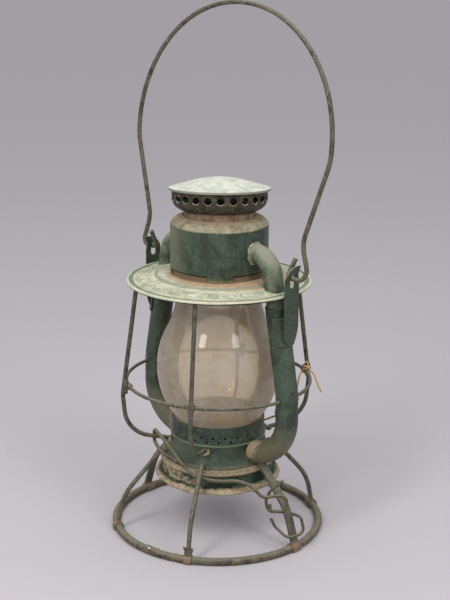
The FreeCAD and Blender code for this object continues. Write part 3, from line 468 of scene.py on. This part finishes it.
def fount_look():
    """Fount: tan rust on the bead and flange, green left on the wall."""
    look = Look("fount_crust")
    cloud = look.noise(6.0, 6.0, 0.65, 6)
    color = green_coat(look, tint(36, 52, 42), tint(58, 76, 62), tint(92, 104, 84), 51)
    tan = look.mix(tint(150, 132, 106), tint(186, 172, 142), look.ease(cloud, 0.38, 0.60))
    pink = look.ease(look.noise(4.0, 5.0, 0.7, 26), 0.52, 0.64)
    tan = look.mix(tan, tint(184, 138, 116), look.times(pink, 0.8))
    ragged = look.math("MULTIPLY", look.noise(3.4, 5.0, 0.7, 16), 3.6)
    level = look.sum(look.height, ragged)
    bead = look.ease(level, *FOUNT_BEAD)
    color = look.mix(color, tan, look.times(bead, 0.85))
    foot = look.ease(level, *FOUNT_FOOT)
    color = look.mix(color, tan, look.times(foot, 0.9))
    left = look.vector("DOT_PRODUCT", look.geometry.outputs["Normal"], toward(FRONT - 62, 1))
    flaked = look.ease(look.noise(5.0, 5.0, 0.7, 39), 0.40, 0.56)
    worn = look.times(look.ease(left, 0.55, 0.95), flaked)
    color = look.mix(color, tan, look.times(worn, 0.85))
    kept = look.times(look.ease(look.noise(4.0, 5.0, 0.7, 46), 0.58, 0.64), foot)
    color = look.mix(color, tint(66, 84, 66), look.times(kept, 0.8))
    color = look.mix(color, tint(58, 50, 40), look.times(specks(look, 1.4, 0.05, 49), 0.7))
    below = look.ease(look.up, -0.3, -0.8)
    color = look.mix(color, tint(72, 64, 54), look.times(below, 0.8))
    look.raised(look.noise(0.9, 5.0, 0.7, 7), 0.14)
    look.raised(look.noise(5.0, 3.0, 0.5, 8), 0.3)
    return look.finish(look.surface(color, 0.8, shine=0.3))


def wire_look(name, tone, rust, shift, warm=0.0, crimp=0.0):
    """Dull wire with olive paint left in patches, rust blooms and rubbed flecks."""
    look = Look(name)
    cloud = look.noise(9.0, 6.0, 0.65, shift, warp=0.5)
    dark = tint(*(value * tone for value in (54, 53, 44)))
    mid = tint(*(value * tone for value in (96 + warm, 93, 80 - warm)))
    color = look.mix(dark, mid, look.ease(cloud, 0.34, 0.56))
    olive = look.ease(look.noise(6.0, 5.0, 0.65, shift + 12), 0.50, 0.62)
    color = look.mix(color, tint(88 * tone, 96 * tone, 74 * tone), look.times(olive, 0.7))
    bloom = look.ease(look.noise(5.0, 5.0, 0.7, shift + 24), 0.66 - rust * 0.3, 0.76 - rust * 0.3)
    color = look.mix(color, tint(136, 98, 74), look.times(bloom, 0.75))
    low = look.ease(look.height, *LEG_FOOT_HEIGHT)
    foot = look.times(low, look.ease(look.radius, *LEG_FOOT_RADIUS), crimp)
    color = look.mix(color, tint(150, 120, 96), look.times(foot, look.level(0.5, 1.0, cloud)))
    color, settled = dust_over(look, color, tint(142, 140, 122), 0.2, 1.1, 0.6, shift)
    color = look.mix(color, tint(186, 184, 166), look.times(specks(look, 1.2, 0.07, shift + 36), 0.75))
    color = look.mix(color, tint(40, 36, 30), look.times(specks(look, 1.4, 0.05, shift + 48), 0.7))
    look.raised(look.noise(0.7, 4.0, 0.65, shift + 3), 0.09)
    look.raised(look.noise(2.6, 4.0, 0.6, shift + 5), 0.16)
    rough = look.level(0.48, 0.85, look.math("MAXIMUM", settled, cloud))
    return look.finish(look.surface(color, rough, metal=0.1, shine=0.45))


def glass_look():
    """Clear glass: a tan film of dirt on the outside, thicker low down, and a thin gloss."""
    look = Look("dirty_glass")
    backing = look.math("SUBTRACT", 1.0, look.math("MULTIPLY", look.geometry.outputs["Backfacing"], 2.0))
    outward = look.vector("NORMALIZE", look.vector("MULTIPLY", look.place, (1, 1, 0)))
    facing = look.vector("DOT_PRODUCT", look.geometry.outputs["True Normal"], outward)
    outside = look.ease(look.math("MULTIPLY", facing, backing), -0.05, 0.05)
    cloud = look.noise(22.0, 5.0, 0.6, 4, warp=0.8)
    film = look.mix(tint(250, 228, 192), tint(250, 238, 218), look.ease(cloud, 0.36, 0.62))
    streak = look.noise(5.0, 4.0, 0.6, 17, (1.0, 1.0, 0.22))
    smear = look.noise(11.0, 5.0, 0.65, 28, (0.5, 0.5, 1.6), 1.2)
    share = look.level(0.52, 0.62, look.ease(cloud, 0.35, 0.65))
    share = look.sum(share, look.times(look.ease(streak, 0.5, 0.7), 0.03))
    share = look.sum(share, look.times(look.ease(smear, 0.52, 0.68), 0.04))
    low = look.ease(look.sum(look.height, look.times(cloud, 10.0)), 112.0, 96.0)
    share = look.sum(share, look.times(low, 0.1))
    view = look.add("ShaderNodeLayerWeight")
    look.join(0.4, view.inputs["Blend"])
    edge = look.ease(view.outputs["Facing"], 0.45, 0.98)
    share = look.sum(share, look.times(edge, 0.3))
    spots = specks(look, 1.6, 0.045, 33)
    share = look.math("MAXIMUM", share, look.times(spots, 0.62))
    share = look.times(look.math("MINIMUM", share, 0.94), look.level(0.10, 1.0, outside))
    share = look.times(share, look.level(1.0, 0.4, look.geometry.outputs["Backfacing"]))
    film = look.mix(film, tint(150, 132, 104), look.times(spots, 0.5))
    film = look.mix(film, tint(244, 216, 172), look.times(edge, 0.5))
    look.raised(look.noise(30.0, 1.0, 0.3, 5), 0.3)
    coat = look.add("ShaderNodeMixShader")
    behind = look.add("ShaderNodeBsdfTranslucent")
    look.join(film, behind.inputs["Color"])
    look.join(0.55, coat.inputs[0])
    look.join(look.surface(film, 0.55, shine=0.3), coat.inputs[1])
    look.join(behind.outputs[0], coat.inputs[2])
    clear = look.add("ShaderNodeBsdfTransparent")
    look.join(tint(248, 244, 236), clear.inputs["Color"])
    body = look.add("ShaderNodeMixShader")
    look.join(share, body.inputs[0])
    look.join(clear.outputs[0], body.inputs[1])
    look.join(coat.outputs[0], body.inputs[2])
    gloss = look.add("ShaderNodeBsdfGlossy")
    look.join(look.level(0.03, 0.09, look.ease(smear, 0.4, 0.7)), gloss.inputs["Roughness"])
    look.join(look.normal, gloss.inputs["Normal"])
    mirror = look.add("ShaderNodeFresnel")
    look.join(1.5, mirror.inputs["IOR"])
    top = look.add("ShaderNodeMixShader")
    look.join(look.times(mirror.outputs[0], look.level(0.25, 1.0, outside)), top.inputs[0])
    look.join(body.outputs[0], top.inputs[1])
    look.join(gloss.outputs[0], top.inputs[2])
    return look.finish(top.outputs[0])


def brass_look():
    """Brown tarnished brass with a little green in the hollows."""
    look = Look("old_brass")
    cloud = look.noise(4.0, 6.0, 0.65, 2)
    color = look.mix(tint(86, 68, 40), tint(146, 120, 76), look.ease(cloud, 0.38, 0.64))
    green = look.ease(look.noise(2.6, 5.0, 0.7, 12), 0.58, 0.68)
    color = look.mix(color, tint(96, 108, 84), look.times(green, 0.6))
    color, settled = dust_over(look, color, tint(140, 130, 108), 0.4, 1.0, 0.6)
    look.raised(look.noise(0.8, 4.0, 0.6, 3), 0.05)
    rough = look.level(0.36, 0.8, look.math("MAXIMUM", settled, green))
    return look.finish(look.surface(color, rough, metal=0.75))


def cotton_look():
    """Woven wick, charred at the top."""
    look = Look("wick_cotton")
    weft = look.math("SINE", look.math("MULTIPLY", look.height, 7.0))
    warp = look.math("SINE", look.math("MULTIPLY", look.y, 7.0))
    weave = look.math("MULTIPLY", look.sum(weft, warp), 0.25)
    weave = look.sum(weave, 0.5)
    color = look.mix(tint(140, 122, 94), tint(196, 182, 154), weave)
    char = look.ease(look.sum(look.height, look.times(look.noise(2.0), 3.0)), *WICK_CHAR)
    color = look.mix(color, tint(22, 20, 18), char)
    look.raised(weave, 0.12)
    return look.finish(look.surface(color, 0.95, shine=0.1))


def solder_look():
    """Grey-green solder with pale crust and a rusty tide line."""
    look = Look("old_solder")
    cloud = look.noise(2.4, 5.0, 0.7, 3)
    color = look.mix(tint(104, 104, 82), tint(172, 168, 142), look.ease(cloud, 0.38, 0.62))
    rusty = look.ease(look.noise(3.0, 5.0, 0.7, 15), 0.56, 0.66)
    color = look.mix(color, tint(146, 106, 76), look.times(rusty, 0.8))
    look.raised(look.noise(0.7, 4.0, 0.7, 6), 0.12)
    return look.finish(look.surface(color, 0.75, metal=0.1, shine=0.4))


def twine_look():
    """Frayed straw-coloured twine."""
    look = Look("straw_twine")
    fine = look.noise(0.5, 3.0, 0.6, 2, (1.0, 1.0, 0.4))
    color = look.mix(tint(178, 138, 90), tint(238, 206, 156), look.ease(fine, 0.36, 0.62))
    look.raised(fine, 0.15)
    return look.finish(look.surface(color, 0.95, shine=0.1))


def bright_look():
    """A rubbed rivet head or fleck of bare tin."""
    look = Look("bare_tin")
    cloud = look.noise(0.9, 3.0, 0.6, 4)
    color = look.mix(tint(176, 172, 158), tint(238, 236, 226), look.ease(cloud, 0.36, 0.58))
    look.raised(cloud, 0.04)
    return look.finish(look.surface(color, 0.3, metal=0.5, shine=0.8))


LOOKS = {
    "drum": paint_look("drum_paint", 1.0, 3, (0.5, 1.2), extra=drum_marks),
    "dome": paint_look("dome_paint", 0.92, 13, (0.55, 1.3), extra=dome_marks),
    "plate": paint_look("plate_paint", 0.9, 23, (0.6, 1.3), extra=plate_marks),
    "tube_upper": paint_look("upper_tube_paint", 1.15, 33, (-0.1, 0.9), (150, 152, 132), tube_root_crust),
    "tube_lower": paint_look("lower_tube_paint", 1.0, 43, (0.1, 1.1), extra=tube_foot_crust),
    "ear": paint_look("ear_paint", 0.95, 53, (0.2, 1.0)),
    "strap": paint_look("strap_paint", 1.1, 63, (0.2, 0.9), (134, 130, 110), strap_marks),
    "brim": brim_look(),
    "relief": relief_look(),
    "cap": cap_look(),
    "crown": crown_look(),
    "gallery": gallery_look(),
    "neck": neck_look(),
    "fount": fount_look(),
    "ring": wire_look("ring_wire", 1.02, 0.42, 7, 4),
    "wire": wire_look("guard_wire", 0.92, 0.2, 17),
    "leg": wire_look("leg_wire", 1.0, 0.3, 27, crimp=0.8),
    "belt": wire_look("belt_wire", 0.98, 0.3, 37, 3),
    "bail": wire_look("bail_wire", 0.98, 0.24, 47, 1),
    "lock": wire_look("lock_wire", 0.98, 0.36, 57, 4),
    "glass": glass_look(),
    "brass": brass_look(),
    "cotton": cotton_look(),
    "solder": solder_look(),
    "twine": twine_look(),
    "bright": bright_look(),
}

DRESS = {
    "base_ring": "ring",
    "bail": "bail",
    "fount_lock_wire": "lock",
    "strap_clip": "lock",
    "hood_spring": "neck",
    "lower_dome": "dome",
    "globe_plate": "plate",
    "globe": "glass",
    "brim": "brim",
    "drum": "drum",
    "drum_crown": "crown",
    "cap": "cap",
    "cap_gallery": "gallery",
    "chimney_neck": "neck",
    "globe_bell": "neck",
    "fount_tank": "fount",
    "fount_base": "fount",
    "fount_collar": "brass",
    "burner_base": "brass",
    "burner_cone": "brass",
    "wick_tube": "brass",
    "wick_shaft": "brass",
    "wick_wheels": "brass",
    "wick_knob": "brass",
    "wick": "cotton",
}
PREFIXES = {
    "leg_wire": "leg",
    "guard_upright": "wire",
    "guard_belt": "belt",
    "strap_leg": "strap",
    "tube_upper": "tube_upper",
    "tube_lower": "tube_lower",
    "ear": "ear",
}
for name, node in nodes.items():
    kind = DRESS.get(name)
    if kind is None:
        kind = next(look for prefix, look in PREFIXES.items() if name.startswith(prefix))
    for slot in node.material_slots:
        slot.material = LOOKS[kind]


# ---------------------------------------------------------------- shapes in mesh code


def place(angle, radius, height):
    """Point in metres from millimetres."""
    return Vector(toward(angle, radius, height)) * MM


def smooth_path(points, steps):
    """Catmull-Rom curve through points, with steps places on each span."""
    last = len(points) - 1
    path = []
    for index in range(last):
        near = [points[min(max(index + shift, 0), last)] for shift in (-1, 0, 1, 2)]
        before, start, end, after = near
        for step in range(steps):
            t = step / steps
            path.append(
                0.5
                * (
                    2 * start
                    + (end - before) * t
                    + (2 * before - 5 * start + 4 * end - after) * t * t
                    + (3 * start - before - 3 * end + after) * t**3
                )
            )
    path.append(points[-1].copy())
    return path


def new_piece(name, mesh, look, body):
    """Adds a mesh to the scene with its look, riding on one body."""
    piece = bpy.data.objects.new(name, mesh)
    bpy.context.scene.collection.objects.link(piece)
    mesh.materials.append(LOOKS[look])
    mesh.shade_smooth()
    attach(piece, body)
    return piece


def add_tube(shape, path, radius, sides=14, closed=False, *, lumps, grain=1.0):
    """Adds a round tube along path. radius(share of length) is in millimetres."""
    count = len(path)
    rings = []
    normal = None
    for index, point in enumerate(path):
        if closed:
            tangent = (path[(index + 1) % count] - path[index - 1]).normalized()
        else:
            ahead = path[min(index + 1, count - 1)]
            tangent = (ahead - path[max(index - 1, 0)]).normalized()
        if normal is None:
            normal = tangent.orthogonal().normalized()
        normal = (normal - tangent * normal.dot(tangent)).normalized()
        other = tangent.cross(normal)
        size = radius(index / max(count - 1, 1))
        ring = []
        for side in range(sides):
            turn = 2 * math.pi * side / sides
            out = normal * math.cos(turn) + other * math.sin(turn)
            lump = lumps * noise.noise((point + out * size * MM) / MM / grain)
            ring.append(shape.verts.new(point + out * (size + lump) * MM))
        rings.append(ring)
    spans = count if closed else count - 1
    for index in range(spans):
        first, second = rings[index], rings[(index + 1) % count]
        shift = 0
        if closed and index == count - 1:
            shift = min(range(sides), key=lambda k: (second[k].co - first[0].co).length)
        for side in range(sides):
            after = (side + 1) % sides
            shape.faces.new(
                (
                    first[side],
                    first[after],
                    second[(after + shift) % sides],
                    second[(side + shift) % sides],
                )
            )
    if not closed:
        shape.faces.new(list(reversed(rings[0])))
        shape.faces.new(rings[-1])


def stitch(shape, first, second):
    """Faces between two closed rings of vertices; either ring may be a single vertex."""
    steps = max(len(first), len(second))
    for step in range(steps):
        after = (step + 1) % steps
        if len(first) == 1:
            corners = (first[0], second[after], second[step])
        elif len(second) == 1:
            corners = (first[step], first[after], second[0])
        else:
            corners = (first[step], first[after], second[after], second[step])
        shape.faces.new(corners)


def close_shape(shape, name):
    """Turns the faces outward and hands back the finished mesh."""
    bmesh.ops.recalc_face_normals(shape, faces=shape.faces)
    mesh = bpy.data.meshes.new(name)
    shape.to_mesh(mesh)
    shape.free()
    return mesh


def blunt(radius, share):
    """Radius with ends rounded over share of the path."""

    def size(place_on):
        end = min(place_on, 1 - place_on)
        if end >= share:
            return radius
        return radius * max(math.sqrt(max(1 - (1 - end / share) ** 2, 0.0)), 0.12)

    return size


def swollen(radius, gain, spread):
    """Radius that swells by gain at the middle of a path."""
    return lambda share: radius + gain * math.exp(-(((share - 0.5) / spread) ** 2))


def solder_ring(name, side):
    """Irregular fillet where an upper tube enters the drum."""
    steps = 72
    path = []
    for step in range(steps):
        turn = 2 * math.pi * step / steps
        across = UPPER_TUBE_RADIUS * math.sin(turn)
        out = side * math.sqrt(DRUM_RADIUS**2 - across**2)
        rise = UPPER_TUBE_HEIGHT + UPPER_TUBE_RADIUS * math.cos(turn)
        path.append(Vector((out, across, rise)) * MM)
    shape = bmesh.new()
    add_tube(shape, path, lambda share: 1.0, 12, True, lumps=1.1, grain=3.0)
    new_piece(name, close_shape(shape, name), "solder", "frame")


def belt_tie(name, angle):
    """Lap where the belt is bent round an upright and soldered."""
    shape = bmesh.new()
    belt = [
        place(angle + turn, BELT_RADIUS, BELT_HEIGHT + 0.2 * math.sin(turn)) for turn in range(-5, 6)
    ]
    upright = [place(angle, 70.4 + 0.012 * lift, BELT_HEIGHT + lift) for lift in (-5, -2.5, 0, 2.5, 5)]
    add_tube(shape, smooth_path(belt, 4), swollen(1.32, 1.15, 0.2), lumps=0.5, grain=1.6)
    add_tube(shape, smooth_path(upright, 6), swollen(1.62, 0.85, 0.26), lumps=0.5, grain=1.6)
    new_piece(name, close_shape(shape, name), "belt", "frame")


def upright_hook(name, angle):
    """Turned-over end of a guard upright on the dome's shoulder."""
    points = [
        place(angle - 3.6, 41.2, 69.8),
        place(angle - 0.6, 40.4, 68.2),
        place(angle + 2.6, 39.6, 68.0),
        place(angle + 5.2, 38.9, 69.0),
        place(angle + 5.6, 38.4, 70.4),
        place(angle + 3.6, 38.6, 71.0),
    ]
    shape = bmesh.new()
    add_tube(shape, smooth_path(points, 8), blunt(1.05, 0.08), lumps=0.18)
    new_piece(name, close_shape(shape, name), "solder", "frame")


def ring_seam():
    """Sleeve and fleck of solder at the butt joint of the base ring."""
    shape = bmesh.new()
    path = [place(RING_SEAM_ANGLE + turn * 0.5, 76.1, 3.1) for turn in range(-9, 10)]
    add_tube(shape, path, blunt(2.85, 0.05), 20, lumps=0.22, grain=2.0)
    new_piece("ring_seam", close_shape(shape, "ring_seam"), "ring", "frame")
    shape = bmesh.new()
    path = [
        place(RING_SEAM_ANGLE - 0.8 + turn * 0.25, 77.8, 5.3 - 0.1 * turn * turn) for turn in range(-3, 4)
    ]
    add_tube(shape, path, blunt(0.75, 0.3), 12, lumps=0.3, grain=0.8)
    new_piece("ring_fleck", close_shape(shape, "ring_fleck"), "bright", "frame")


def torn_crimp():
    """Ragged collar left where a leg's end was folded round the ring."""
    steps = 26
    thickness = 0.38
    levels = ((2.2, 6.4), (2.45, 7.8), (2.2, 9.2), (2.5, 10.4))
    top = len(levels) - 1

    def leg_axis(height):
        return 76.6 - 0.22 * (height - 6.6)

    rows = []
    for level, (radius, height) in enumerate(levels):
        row = []
        for step in range(steps):
            turn = 2 * math.pi * step / steps
            jag = 2.4 * noise.noise(Vector((4 * math.cos(turn), 4 * math.sin(turn), 7.7)))
            flare = radius + (1.0 * max(jag, 0.0) if level == top else 0.15 * jag)
            rise = height + (1.6 * jag if level == top else 0.0)
            out = leg_axis(rise) + flare * math.cos(turn)
            row.append(Vector((out, flare * 1.15 * math.sin(turn), rise)))
        rows.append(row)
    spin = Matrix.Rotation(math.radians(CORNERS["front_right"]), 4, "Z")
    centres = [Vector((leg_axis(height), 0, height)) for height in (6.6, 8.2, 9.6, 10.9)]
    shape = bmesh.new()
    outer = [[shape.verts.new(spin @ point * MM) for point in row] for row in rows]
    inner = [
        [
            shape.verts.new(spin @ (point + (centre - point).normalized() * thickness) * MM)
            for point in row
        ]
        for row, centre in zip(rows, centres)
    ]
    for level in range(top):
        stitch(shape, outer[level], outer[level + 1])
        stitch(shape, inner[level + 1], inner[level])
    for level in (0, top):
        stitch(shape, outer[level], inner[level])
    new_piece("torn_crimp", close_shape(shape, "torn_crimp"), "leg", "frame")


def twine_knot():
    """Twine tied where the belt meets the right rear upright, with a loop and a loose end."""
    knot = place(CORNERS["rear_right"], 69.0, BELT_HEIGHT)
    right = Vector(toward(FRONT + 90, MM))
    near = Vector(toward(FRONT, MM))
    rise = Vector((0, 0, MM))
    strands = [
        [(-2.4, 2.4, 2.0), (0.5, 3.2, 3.2), (2.8, 0.4, 2.6), (1.0, -2.6, 2.8), (-2.2, -1.6, 1.6),
         (-2.6, 1.4, -2.2), (0.4, 2.6, -3.0), (2.8, -0.6, -2.0), (1.2, -2.8, 1.8)],
        [(-3.0, 0.2, 1.8), (-0.4, 1.4, 3.6), (2.4, 2.4, 1.8), (2.4, 0.6, -2.2), (-0.8, -2.4, -2.4),
         (-3.0, -1.4, 0.6)],
        [(1.4, 0.4, 3.0), (4.2, -1.2, 3.2), (6.6, -4.2, 3.0), (8.4, -9.4, 2.4), (10.2, -14.2, 2.0),
         (12.4, -17.6, 2.2)],
        [(-1.8, 0.2, 2.6), (-4.4, -3.4, 3.4), (-5.6, -9.4, 3.0), (-6.4, -15.8, 2.2), (-6.0, -21.2, 1.6),
         (-4.6, -24.2, 1.2)],
        [(0.4, 1.6, 2.8), (1.4, 5.0, 2.6), (-1.0, 6.8, 2.2)],
    ]
    shape = bmesh.new()
    for strand in strands:
        points = [knot + right * a + rise * b + near * c for a, b, c in strand]
        add_tube(shape, smooth_path(points, 8), blunt(0.62, 0.03), 8, lumps=0.3, grain=0.5)
    new_piece("twine_knot", close_shape(shape, "twine_knot"), "twine", "frame")


def brim_relief():
    """Plain pressed border on the brim: two low beads with bars and dots between them."""
    inner_radius, inner_height = BRIM_INNER
    outer_radius, outer_height = BRIM_OUTER
    drop = (inner_height - outer_height) / (outer_radius - inner_radius)
    middle_radius = 55.0

    def level(radius):
        return inner_height - (radius - inner_radius) * drop

    shape = bmesh.new()
    for radius in (49.6, 60.4):
        path = [place(turn * 1.5, radius, level(radius) - 0.35) for turn in range(240)]
        add_tube(shape, path, lambda share: 0.62, 10, True, lumps=0.25, grain=3.0)
    marks = 72
    for index in range(marks):
        half, rounding = (0.7, 0.5) if index % 3 == 2 else (2.7, 0.16)
        reaches = [middle_radius + half * step / 4 for step in range(-4, 5)]
        path = [place(index * 360 / marks, reach, level(reach)) for reach in reaches]
        add_tube(shape, path, blunt(0.78, rounding), 10, lumps=0.25, grain=1.2)
    new_piece("brim_relief", close_shape(shape, "brim_relief"), "relief", "frame")


def bent_flange():
    """Fount bottom with its flange knocked about, and torn open beside the right strap."""
    outline = [
        (0.0, 43.0), (20.0, 43.0), (36.0, 43.0), (40.4, 43.1), (42.2, 43.0), (43.4, 42.6), (44.6, 41.4),
        (45.7, 40.2), (46.2, 39.8), (46.5, 40.3), (46.3, 41.0), (45.2, 42.2), (44.2, 43.3), (42.8, 43.8),
        (41.4, 43.9), (40.4, 43.8), (36.0, 43.8), (20.0, 43.8), (0.0, 43.8),
    ]
    steps = 288
    shape = bmesh.new()
    rings = []
    for radius, height in outline:
        ring = []
        loose = max(0.0, (radius - 42.0) / 4.5)
        for step in range(steps if radius else 1):
            turn = 360 * step / steps
            here = Vector(toward(turn, 2.2))
            wave = 0.75 * noise.noise(here) + 0.3 * noise.noise(here * 3.1)
            tear = math.exp(-(((turn + 12 + 180) % 360 - 180) / 5.5) ** 2)
            grown = radius + loose * (0.55 * noise.noise(here * 2.3 + Vector((5, 5, 5))) - 2.4 * tear)
            lifted = height + loose * (wave + 1.9 * tear * math.sin(math.radians(turn * 9)))
            ring.append(shape.verts.new(place(turn, grown, lifted)))
        rings.append(ring)
    for first, second in zip(rings, rings[1:]):
        stitch(shape, first, second)
    piece = new_piece("bent_flange", close_shape(shape, "bent_flange"), "fount", "fount")
    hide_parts("fount_base")


def painted_shade_ring():
    """Dark ring inside the drum's air slots: painted shade, a dark sheet that keeps the gap behind the
    slots dark.
    """
    outline = [(32.4, 193.4), (32.9, 193.4), (33.0, 196.4), (32.9, 199.6), (32.4, 199.6), (32.5, 196.4)]
    steps = 96
    shape = bmesh.new()
    rings = []
    for radius, height in outline:
        rings.append([shape.verts.new(place(360 * step / steps, radius, height)) for step in range(steps)])
    for first, second in zip(rings, rings[1:] + rings[:1]):
        stitch(shape, first, second)
    new_piece("painted_shade_ring", close_shape(shape, "painted_shade_ring"), "gallery", "frame")


def gallery_lip_highlights():
    """Pale strip on the lower lip of each air hole in the hood's gallery: painted highlight where light
    catches the edge of the hole.
    """
    tilt = Matrix.Rotation(math.radians(HOOD_TILT), 4, Vector(toward(HOOD_HINGE, 1)))
    askew = Matrix.Translation((0, 0, HOOD_SEAT_HEIGHT * MM)) @ tilt
    spacing = 360 / GALLERY_HOLES
    steps = 8
    shape = bmesh.new()
    for index in range(GALLERY_HOLES):
        path = []
        for step in range(steps + 1):
            turn = math.radians(205 + 130 * step / steps)
            side = math.degrees(GALLERY_HOLE_RADIUS * math.cos(turn) / GALLERY_RADIUS)
            rise = GALLERY_HOLE_HEIGHT + GALLERY_HOLE_RADIUS * math.sin(turn)
            path.append(askew @ place(index * spacing + side, GALLERY_RADIUS + 0.05, rise))
        thick = 0.26 + 0.16 * noise.noise(Vector((index * 1.3, 2.5, 0.7)))
        # Painted highlight: each pale strip stands in for light on the lower edge of its hole.
        add_tube(shape, path, blunt(thick, 0.35), 10, lumps=0.12, grain=0.9)
    new_piece("gallery_lip_highlights", close_shape(shape, "gallery_lip_highlights"), "solder", "hood")


def strap_rivet():
    """Low rivet head on the dome beside the right strap."""
    middle = place(-3.6, 42.9, 60.2)
    out = Vector(toward(-20, 1, 0.5)).normalized()
    side = out.orthogonal().normalized()
    other = out.cross(side)
    radius, rise = 1.0, 0.7
    steps = 18
    shape = bmesh.new()
    rings = []
    for share, lift in ((1.0, -0.4), (1.0, 0.15), (0.82, 0.62), (0.45, 0.94)):
        ring = []
        for step in range(steps):
            turn = 2 * math.pi * step / steps
            across = side * math.cos(turn) + other * math.sin(turn)
            ring.append(shape.verts.new(middle + (across * radius * share + out * rise * lift) * MM))
        rings.append(ring)
    rings.append([shape.verts.new(middle + out * rise * MM)])
    for first, second in zip(rings, rings[1:]):
        stitch(shape, first, second)
    shape.faces.new(list(reversed(rings[0])))
    new_piece("strap_rivet", close_shape(shape, "strap_rivet"), "bright", "frame")


solder_ring("solder_right", 1)
solder_ring("solder_left", -1)
for corner, angle in CORNERS.items():
    belt_tie(f"belt_tie_{corner}", angle)
    upright_hook(f"upright_hook_{corner}", angle)
ring_seam()
torn_crimp()
twine_knot()
brim_relief()
bent_flange()
painted_shade_ring()
gallery_lip_highlights()
strap_rivet()


# ---------------------------------------------------------------- studio

LAMP_AIM = Vector((0, 0, 0.16))
STRIP_LAMP = (0.22, 0.62)
CAMERA_PLACE = Vector((0.6322, -0.6598, 0.4289))
CAMERA_AIM = Vector((-0.6628, 0.6984, -0.2704))
CAMERA_ROLL = -0.48


def plain(name, color, rough):
    """Nearly even material with a faint grain."""
    look = Look(name)
    fine = look.noise(3.0, 2.0, 0.5)
    shade = look.mix(tint(*(value * 0.985 for value in color)), tint(*color), fine)
    return look.finish(look.surface(shade, rough, shine=0.15))


def studio_floor():
    """Wide round floor, plain on all sides of the lantern. Its rings are in metres."""
    shape = bmesh.new()
    steps = 96
    rings = [[shape.verts.new((0, 0, 0))]]
    for reach in (0.5, 2.0, 8.0, 30.0):
        rings.append([shape.verts.new(Vector(toward(360 * step / steps, reach))) for step in range(steps)])
    for first, second in zip(rings, rings[1:]):
        stitch(shape, second, first)
    mesh = close_shape(shape, "studio_floor")
    mesh.materials.append(plain("studio_grey", (200, 196, 201), 0.9))
    mesh.shade_smooth()
    floor = bpy.data.objects.new("studio_floor", mesh)
    bpy.context.scene.collection.objects.link(floor)


def lamp(name, angle, distance, height, size, power, color):
    """Soft rectangular light aimed at the lantern's middle. Lengths are in metres."""
    light = bpy.data.lights.new(name, "AREA")
    light.shape = "RECTANGLE"
    light.size, light.size_y = size
    light.energy = power
    light.color = color
    holder = bpy.data.objects.new(name, light)
    holder.location = Vector(toward(angle, distance, height))
    holder.rotation_euler = (LAMP_AIM - holder.location).to_track_quat("-Z", "Y").to_euler()
    bpy.context.scene.collection.objects.link(holder)


studio_floor()
lamp("key", FRONT - 36, 0.72, 0.85, STRIP_LAMP, 4.2, (1.0, 0.985, 0.95))
lamp("fill", FRONT + 38, 0.72, 0.85, STRIP_LAMP, 2.6, (1.0, 0.99, 0.97))
lamp("top", FRONT + 180, 0.1, 1.6, (1.0, 1.0), 2.0, (1.0, 0.99, 0.97))

world = bpy.data.worlds.new("studio_air")
world.use_nodes = True
air = world.node_tree.nodes["Background"]
air.inputs["Color"].default_value = (0.98, 0.97, 1.0, 1.0)
air.inputs["Strength"].default_value = 0.62
bpy.context.scene.world = world
bpy.context.scene.view_settings.view_transform = "Standard"

camera = bpy.data.cameras.new("camera")
camera.sensor_width = 36.0
camera.lens = 78.7
camera.clip_start = 0.05
camera.clip_end = 20.0
holder = bpy.data.objects.new("camera", camera)
roll = Matrix.Rotation(math.radians(CAMERA_ROLL), 4, CAMERA_AIM)
facing = CAMERA_AIM.to_track_quat("-Z", "Y").to_matrix().to_4x4()
holder.matrix_world = Matrix.Translation(CAMERA_PLACE) @ roll @ facing
bpy.context.scene.collection.objects.link(holder)
bpy.context.scene.camera = holder
